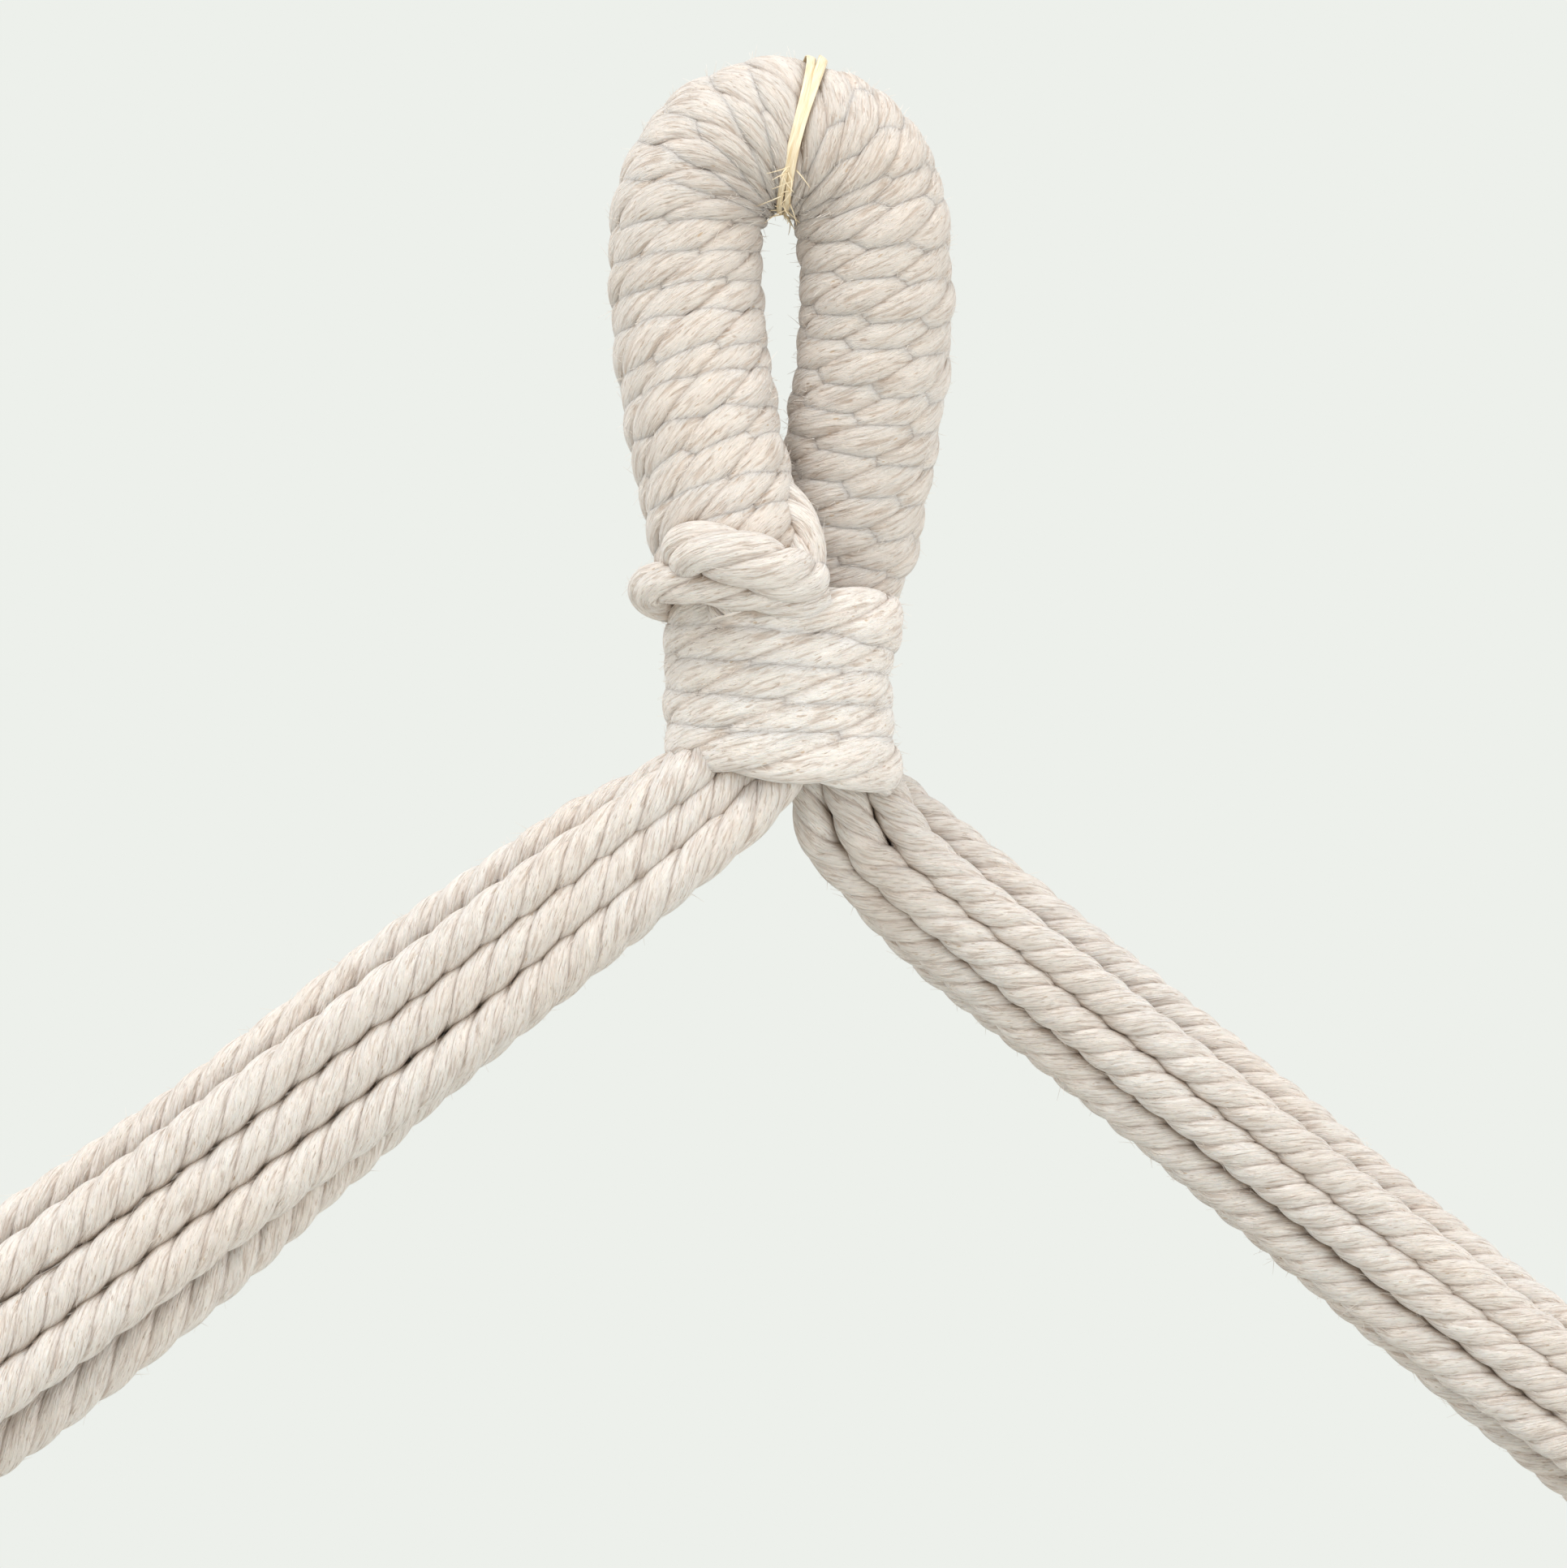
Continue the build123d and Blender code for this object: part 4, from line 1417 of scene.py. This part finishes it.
@dataclass
class Net:
    """The two rows of knots, the cords between them and the cords under the bowl.

    Attributes:
        bowl: Sizes of the bowl that they lie on.
        upper: Azimuths of the upper knots.
        lower: Azimuths of the lower knots.
        right_legs: Upper and lower azimuth of each net cord on the right.
        left_legs: The same on the left.
        wound_radius: From a knot's axis to the cords wound round it.
        wound_turns: Turns of those cords.
        wound_pitch: Distance between the turns of one.
        tuck: How deep their ends are drawn in, and over what share of them.
        wound_drift: Unevenness of their winding.
        under: Share of the turn, latitude and lift of the points of an under cord on the bowl.
        gather_ring: Radius of the ring in which the cords enter the gather.
        gather_top: Height of the gather's top.
        entry: Out from that ring and up from that top, the last point before the gather.
        lay: How these cords are laid.
    """

    bowl: BowlShape = BOWL_SHAPE
    upper: tuple[float, ...] = (-35, 0, 35, 145, 180, 215)
    lower: tuple[float, ...] = (17.5, 90, 162.5, 197.5, 270, 342.5)
    right_legs: tuple[tuple[float, float], ...] = (
        (-35, 342.5), (-35, 270), (0, 17.5), (0, 342.5), (35, 90), (35, 17.5)
    )
    left_legs: tuple[tuple[float, float], ...] = (
        (145, 162.5), (145, 90), (180, 197.5), (180, 162.5), (215, 270), (215, 197.5)
    )
    wound_radius: float = 5.6
    wound_turns: float = 1.3
    wound_pitch: float = 9.6
    tuck: tuple[float, float] = (2.9, 0.32)
    wound_drift: Drift = Drift(0.25, 1.2)
    under: tuple[Point, ...] = ((0.12, 63.5, 1.6), (0.3, 71, 1.2), (0.6, 79.5, 1.4))
    gather_ring: float = 11.6
    gather_top: float = -352.0
    entry: tuple[float, float] = (5.9, 11.2)
    lay: Lay = PLAIN_CORD

    def build(self, finishes: Finishes) -> None:
        """Builds the knots, the net cords and the under cords.

        Args:
            finishes: The shared materials.
        """
        rows = (
            ("upper", self.upper, self.bowl.upper_latitude, 400),
            ("lower", self.lower, self.bowl.lower_latitude, 450),
        )
        for row, azimuths, latitude, seed in rows:
            for number, azimuth in enumerate(azimuths, 1):
                self.knot(f"{row}_knot_{number}", azimuth, latitude, seed + number, finishes)
        for name, legs in (("net_cords_right", self.right_legs), ("net_cords_left", self.left_legs)):
            strips = Strips()
            for number, (start, end) in enumerate(legs):
                strips.cord(self.leg(start, end), self.lay, 500 + number + len(name))
            settle(strips.piece(name, finishes.cotton), name)
        for number, azimuth in enumerate(self.lower, 1):
            strips = Strips()
            for along in (-1, 1):
                line = spline_points(self.under_route(number, azimuth, along), self.lay.step)
                strips.cord(line, self.lay, 600 + 2 * number + along)
            name = f"under_cords_{number}"
            settle(strips.piece(name, finishes.cotton), name)

    def knot(self, name: str, azimuth: float, latitude: float, seed: int, finishes: Finishes) -> None:
        """Builds one drawn-up knot: two cords that run through it and two wound over them.

        Args:
            name: Name of the piece, and of the CAD node that it stands for.
            azimuth: Of the knot.
            latitude: Of the knot.
            seed: Seed of its unevenness.
            finishes: The shared materials.
        """
        strips = Strips()
        reach = self.bowl.knot_half_length - 1
        draw = np.random.default_rng(seed)
        for along in (-1, 1):
            aside, sunk = along * self.bowl.port_spread * 0.9, -self.bowl.port_sink
            ends = [self.bowl.knot_place(azimuth, latitude, down * reach, aside, sunk) for down in (-1, 1)]
            strips.cord(spaced(np.array(ends), self.lay.step), self.lay, seed + along + 2)
        share = np.linspace(-1, 1, 160)
        inward, end = self.tuck
        for half in (0, 1):
            turns = math.pi * (self.wound_turns * share + half) + pick(draw, -0.25, 0.25)
            turns = turns + math.radians(azimuth)
            down = self.wound_pitch * self.wound_turns / 2 * share * (1 - 0.18 * np.abs(share) ** 3)
            radius = self.wound_radius - inward * rising(np.abs(share) - (1 - end), end) ** 2
            radius = radius + self.wound_drift.at(seed + half, share)
            path = [
                self.bowl.knot_place(azimuth, latitude, d, r * math.cos(t), r * math.sin(t))
                for d, r, t in zip(down, radius, turns)
            ]
            strips.cord(spaced(np.array(path), self.lay.step), self.lay, seed + 20 + half)
        settle(strips.piece(name, finishes.cotton), name)

    def leg(self, start: float, end: float) -> np.ndarray:
        """Line of a net cord, from under an upper knot over the bowl to the top of a lower knot.

        Args:
            start: Azimuth of the upper knot.
            end: Azimuth of the lower knot.

        Returns:
            Points of the line, in millimetres.
        """
        way = 1 if (end - start + 180) % 360 - 180 > 0 else -1
        centre = np.array([0, 0, self.bowl.mouth])
        first = np.array(self.bowl.port(start, self.bowl.upper_latitude, 1, way)) - centre
        last = np.array(self.bowl.port(end, self.bowl.lower_latitude, -1, -way)) - centre
        share = np.linspace(0, 1, 120)[:, None]
        reach = self.bowl.lane + (np.linalg.norm(first) - self.bowl.lane) * (2 * share - 1) ** 4
        return spaced(centre + unit(first * (1 - share) + last * share) * reach, self.lay.step)

    def under_route(self, number: int, azimuth: float, along: int) -> list[Point]:
        """Control points of a cord from a lower knot, round under the bowl and down into the gather.

        Args:
            number: Which lower knot it comes from.
            azimuth: Of that knot.
            along: Side of the knot that it leaves by, 1 or -1.

        Returns:
            The points, from the knot to the gather, in millimetres.
        """
        ring_azimuth = 30 + 60 * (number - 1) + 15 * along
        turn = (ring_azimuth - azimuth + 180) % 360 - 180
        places = (self.entry, (0, 2), (0, -5))
        return [
            self.bowl.port(azimuth, self.bowl.lower_latitude, 1, along),
            *(self.bowl.point(azimuth + turn * share, low, lift) for share, low, lift in self.under),
            *(on_ring(self.gather_ring + out, ring_azimuth, self.gather_top + up) for out, up in places),
        ]


@dataclass
class Gather:
    """The bottom gather: twelve cords bound in a ring, and the tassel that hangs from them.

    Attributes:
        ring: Radius of the ring of cords.
        inner_ring: Radius of the four cords that fill its middle.
        top: Height of its top.
        length: From its top to its bottom.
        wound_radius: From its axis to the wrapping cord's centre line.
        turns: Turns of the wrap.
        tuck: How deep the wrap's ends are drawn in, and over what share of it.
        valley_shade: How much painted shade darkens the sides of the wrapping cord, between close turns.
        height_drift: Unevenness of the wrap's height.
        reach_drift: Unevenness of its radius.
        tassel_length: From the gather to the tassel's end.
        trim: Least and greatest that one cord of it is longer.
        swing: Farthest that one hangs aside, in degrees.
        fall: Share of the flare and of the length at each control point of one.
        flare: How much wider the tassel's ring is at its end.
        frayed: Length of the tassel that has come unlaid.
        overlap: Rings of a laid cord over which its loose yarns already run.
        yarns: Yarns at each frayed end.
        yarn_ring: From the cord's axis to its outermost yarn where they part.
        wrap: How the wrapping cord is laid.
        inside: How the gathered cords are laid inside the wrap.
        cords: How the tassel's cords are laid.
        yarn: Shape of one loose yarn.
    """

    ring: float = 11.6
    inner_ring: float = 4.2
    top: float = -352.0
    length: float = 28.0
    wound_radius: float = 16.4
    turns: float = 5.6
    tuck: tuple[float, float] = (2.4, 0.03)
    valley_shade: float = 0.7
    height_drift: Drift = Drift(0.15, 0.2)
    reach_drift: Drift = Drift(0.12, 0.15)
    tassel_length: float = 96.0
    trim: tuple[float, float] = (-3, 1.5)
    swing: float = 4.0
    fall: tuple[tuple[float, float], ...] = (
        (0.0, -0.02), (0.0, 0.08), (0.2, 0.25), (0.5, 0.5), (0.8, 0.78), (1.0, 1.0)
    )
    flare: float = 7.5
    frayed: float = 24.0
    overlap: int = 8
    yarns: int = 16
    yarn_ring: float = 2.2
    wrap: Lay = Lay(
        diameter=5.8, pitch=22.0, offset=0.34, groove=0.3, wide=0.86, high=0.78, facets=10, step=0.8
    )
    inside: Lay = Lay(facets=6, step=1.2)
    cords: Lay = PLAIN_CORD
    yarn: Lay = Lay(diameter=1.1, pitch=9.0, strands=1, offset=0.0, groove=0.0, facets=6, step=1.6)

    def build(self, finishes: Finishes) -> None:
        """Builds the gathered cords, the wrap and the tassel.

        Args:
            finishes: The shared materials.
        """
        strips = Strips()
        heights = np.arange(0, self.length - 1, self.inside.step)
        for number in range(16):
            ring, azimuth = (self.ring, 15 + 30 * number) if number < 12 else (self.inner_ring, 90 * number)
            spot = np.array(on_ring(ring, azimuth, self.top - 0.8))
            strips.cord(spot + np.outer(heights, DOWN), self.inside, 700 + number)
        settle(strips.piece("gathered_cords", finishes.cotton), "gather_core")
        self.wrapping(finishes)
        for quarter in range(4):
            strips = Strips()
            for number in range(3 * quarter, 3 * quarter + 3):
                self.tail(strips, 15 + 30 * number, 800 + number)
            name = f"tassel_cords_{quarter + 1}"
            settle(strips.piece(name, finishes.cotton), name)

    def wrapping(self, finishes: Finishes) -> None:
        """Builds the wrap round the gathered cords.

        Args:
            finishes: The shared materials.
        """
        share = np.linspace(0, 1, 5000)
        angle = share * self.turns * 2 * math.pi
        half = self.wrap.diameter * self.wrap.wide / 2
        drop = half + (self.length - 2 * half) * share + self.height_drift.at(31, share)
        inward, end = self.tuck
        reach = self.wound_radius + self.reach_drift.at(32, share)
        reach = reach - inward * rising(np.abs(2 * share - 1) - (1 - end), end) ** 2
        outward = np.stack([np.cos(angle), np.sin(angle), 0 * angle], axis=1)
        path = outward * reach[:, None] + np.stack([0 * drop, 0 * drop, self.top - drop], axis=1)
        path, outward = evenly(path, self.wrap.step, outward)
        strips = Strips()
        strips.cord(path, self.wrap, 33, normals=outward, valley_shade=self.valley_shade)
        settle(strips.piece("gather_wrap", finishes.cotton), "gather_wrap")

    def tail(self, strips: Strips, azimuth: float, seed: int) -> None:
        """Adds one cord of the tassel, laid at its top and frayed at its end.

        Args:
            strips: Where it is added.
            azimuth: Where it stands in the ring.
            seed: Seed of its way and of its yarns.
        """
        draw = np.random.default_rng(seed)
        bottom = self.top - self.length
        length = self.tassel_length + pick(draw, *self.trim)
        swing = pick(draw, -self.swing, self.swing)
        route = [
            on_ring(self.ring + self.flare * flare, azimuth + swing * flare, bottom - length * drop)
            for flare, drop in self.fall
        ]
        line = spline_points(route, self.cords.step)
        unlaid = int(self.frayed / self.cords.step)
        laid, loose = line[:-unlaid], line[-unlaid - self.overlap :]
        strips.cord(laid, self.cords, seed)
        sides = carried_normals(loose)
        others = np.cross(tangents(loose), sides)
        share = np.linspace(0, 1, len(loose))
        for number in range(self.yarns):
            turn = 2.4 * number + seed
            out = self.yarn_ring * math.sqrt((number + 0.5) / self.yarns)
            spread = out * (1 + share**1.6 * pick(draw, 0.1, 1.0))
            turns = turn - share * pick(draw, 0.2, 1.6)
            wave = 0.35 * np.sin(share * pick(draw, 5, 11) + turn)
            aside = np.cos(turns)[:, None] * sides + np.sin(turns)[:, None] * others
            path = loose + (spread + wave)[:, None] * aside
            path = path[: int(len(path) * pick(draw, 0.86, 1.0))]
            strips.cord(spaced(path, self.yarn.step), self.yarn, seed * 20 + number)


@dataclass
class Bowl:
    """The earthenware bowl, which keeps its own shape and throws no colour on the pale cords.

    Attributes:
        node: Its CAD node.
    """

    node: str = "bowl"

    def build(self, finishes: Finishes) -> None:
        """Gives the bowl its clay."""
        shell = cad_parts[self.node]
        shell.visible_diffuse = False
        shell.data.materials.clear()
        shell.data.materials.append(finishes.clay)
        log.info("%s: %d faces", self.node, len(shell.data.polygons))


@dataclass
class Studio:
    """Camera, soft light and a plain pale floor.

    Attributes:
        middle: What the camera looks at, in metres.
        distance: From there to the camera.
        width: How much of the object's plane it sees across.
        film: Width of the camera's film, in millimetres.
        backdrop: Colour behind the object.
        ambient: Colour and strength of the light from all round.
        floor: Height and radius of the floor.
        key: Place, size and power of the main light.
        fill: The same of the weaker light.
    """

    middle: Point = (0.00075, 0.0, -0.0704)
    distance: float = 1.5
    width: float = 0.1931
    film: float = 36.0
    backdrop: Colour = (0.847, 0.871, 0.831, 1)
    ambient: tuple[Colour, float] = ((0.89, 0.88, 0.853, 1), 1.15)
    floor: tuple[float, float] = (-0.505, 2.0)
    key: tuple[Point, float, float] = ((-0.6, -0.75, 1.85), 0.9, 25.0)
    fill: tuple[Point, float, float] = ((1.5, -1.7, -0.1), 1.4, 17.0)

    def build(self, finishes: Finishes) -> None:
        """Sets the camera, the world, the lights and the floor.

        Args:
            finishes: The shared materials.
        """
        scene = bpy.context.scene
        lens = bpy.data.cameras.new("camera")
        lens.sensor_width = self.film
        lens.lens = self.film * self.distance / self.width
        lens.clip_start = 0.01
        camera = self.stand("camera", lens)
        camera.location = (self.middle[0], -self.distance, self.middle[2])
        camera.rotation_euler = (math.pi / 2, 0, 0)
        scene.camera = camera
        scene.view_settings.view_transform = "Standard"
        self.world()
        for name, (place, size, power) in (("key", self.key), ("fill", self.fill)):
            self.light(name, place, size, power)
        self.lay_floor(finishes)

    def stand(self, name: str, data: bpy.types.ID) -> bpy.types.Object:
        """Makes an object of a camera, a light or a mesh, and links it to the scene."""
        made = bpy.data.objects.new(name, data)
        bpy.context.scene.collection.objects.link(made)
        return made

    def world(self) -> None:
        """Sets an even pale background, with a light of its own from all round."""
        world = bpy.data.worlds.new("studio")
        bpy.context.scene.world = world
        world.use_nodes = True
        tree = world.node_tree
        seen = tree.nodes["Background"]
        seen.inputs["Color"].default_value = self.backdrop
        around = tree.nodes.new("ShaderNodeBackground")
        around.inputs["Color"].default_value, around.inputs["Strength"].default_value = self.ambient
        which = tree.nodes.new("ShaderNodeLightPath")
        blend = tree.nodes.new("ShaderNodeMixShader")
        tree.links.new(which.outputs["Is Camera Ray"], blend.inputs[0])
        tree.links.new(around.outputs[0], blend.inputs[1])
        tree.links.new(seen.outputs[0], blend.inputs[2])
        tree.links.new(blend.outputs[0], tree.nodes["World Output"].inputs["Surface"])

    def light(self, name: str, place: Point, size: float, power: float) -> None:
        """Adds a soft light that faces the object.

        Args:
            name: Its name.
            place: Where it stands, in metres.
            size: Across it.
            power: In watts.
        """
        lamp = bpy.data.lights.new(name, "AREA")
        lamp.size = size
        lamp.energy = power
        stand = self.stand(name, lamp)
        stand.location = place
        stand.rotation_euler = (Vector(self.middle) - Vector(place)).to_track_quat("-Z", "Y").to_euler()

    def lay_floor(self, finishes: Finishes) -> None:
        """Lays a round floor below the tassel.

        Args:
            finishes: The shared materials.
        """
        height, radius = self.floor
        turns = np.linspace(0, 2 * math.pi, 97)[:-1]
        rim = [(radius * math.cos(turn), radius * math.sin(turn), height) for turn in turns]
        mesh = bpy.data.meshes.new("floor")
        mesh.from_pydata(rim, [], [tuple(range(len(rim)))])
        mesh.materials.append(finishes.backdrop)
        self.stand("floor", mesh)


def main() -> None:
    """Builds the studio and every sub-assembly."""
    logging.basicConfig(level=logging.INFO, format="%(name)s %(message)s")
    kinds = (Cotton(), SHADED_WOUND_COTTON, LooseCotton(), Raffia(), Earthenware(), Backdrop())
    finishes = Finishes(*(kind.material() for kind in kinds))
    for assembly in (Studio(), Suspension(), HangingEye(), Neck(), Net(), Gather(), Bowl()):
        log.info("building %s", type(assembly).__name__)
        assembly.build(finishes)


if __name__ == "__main__":
    main()
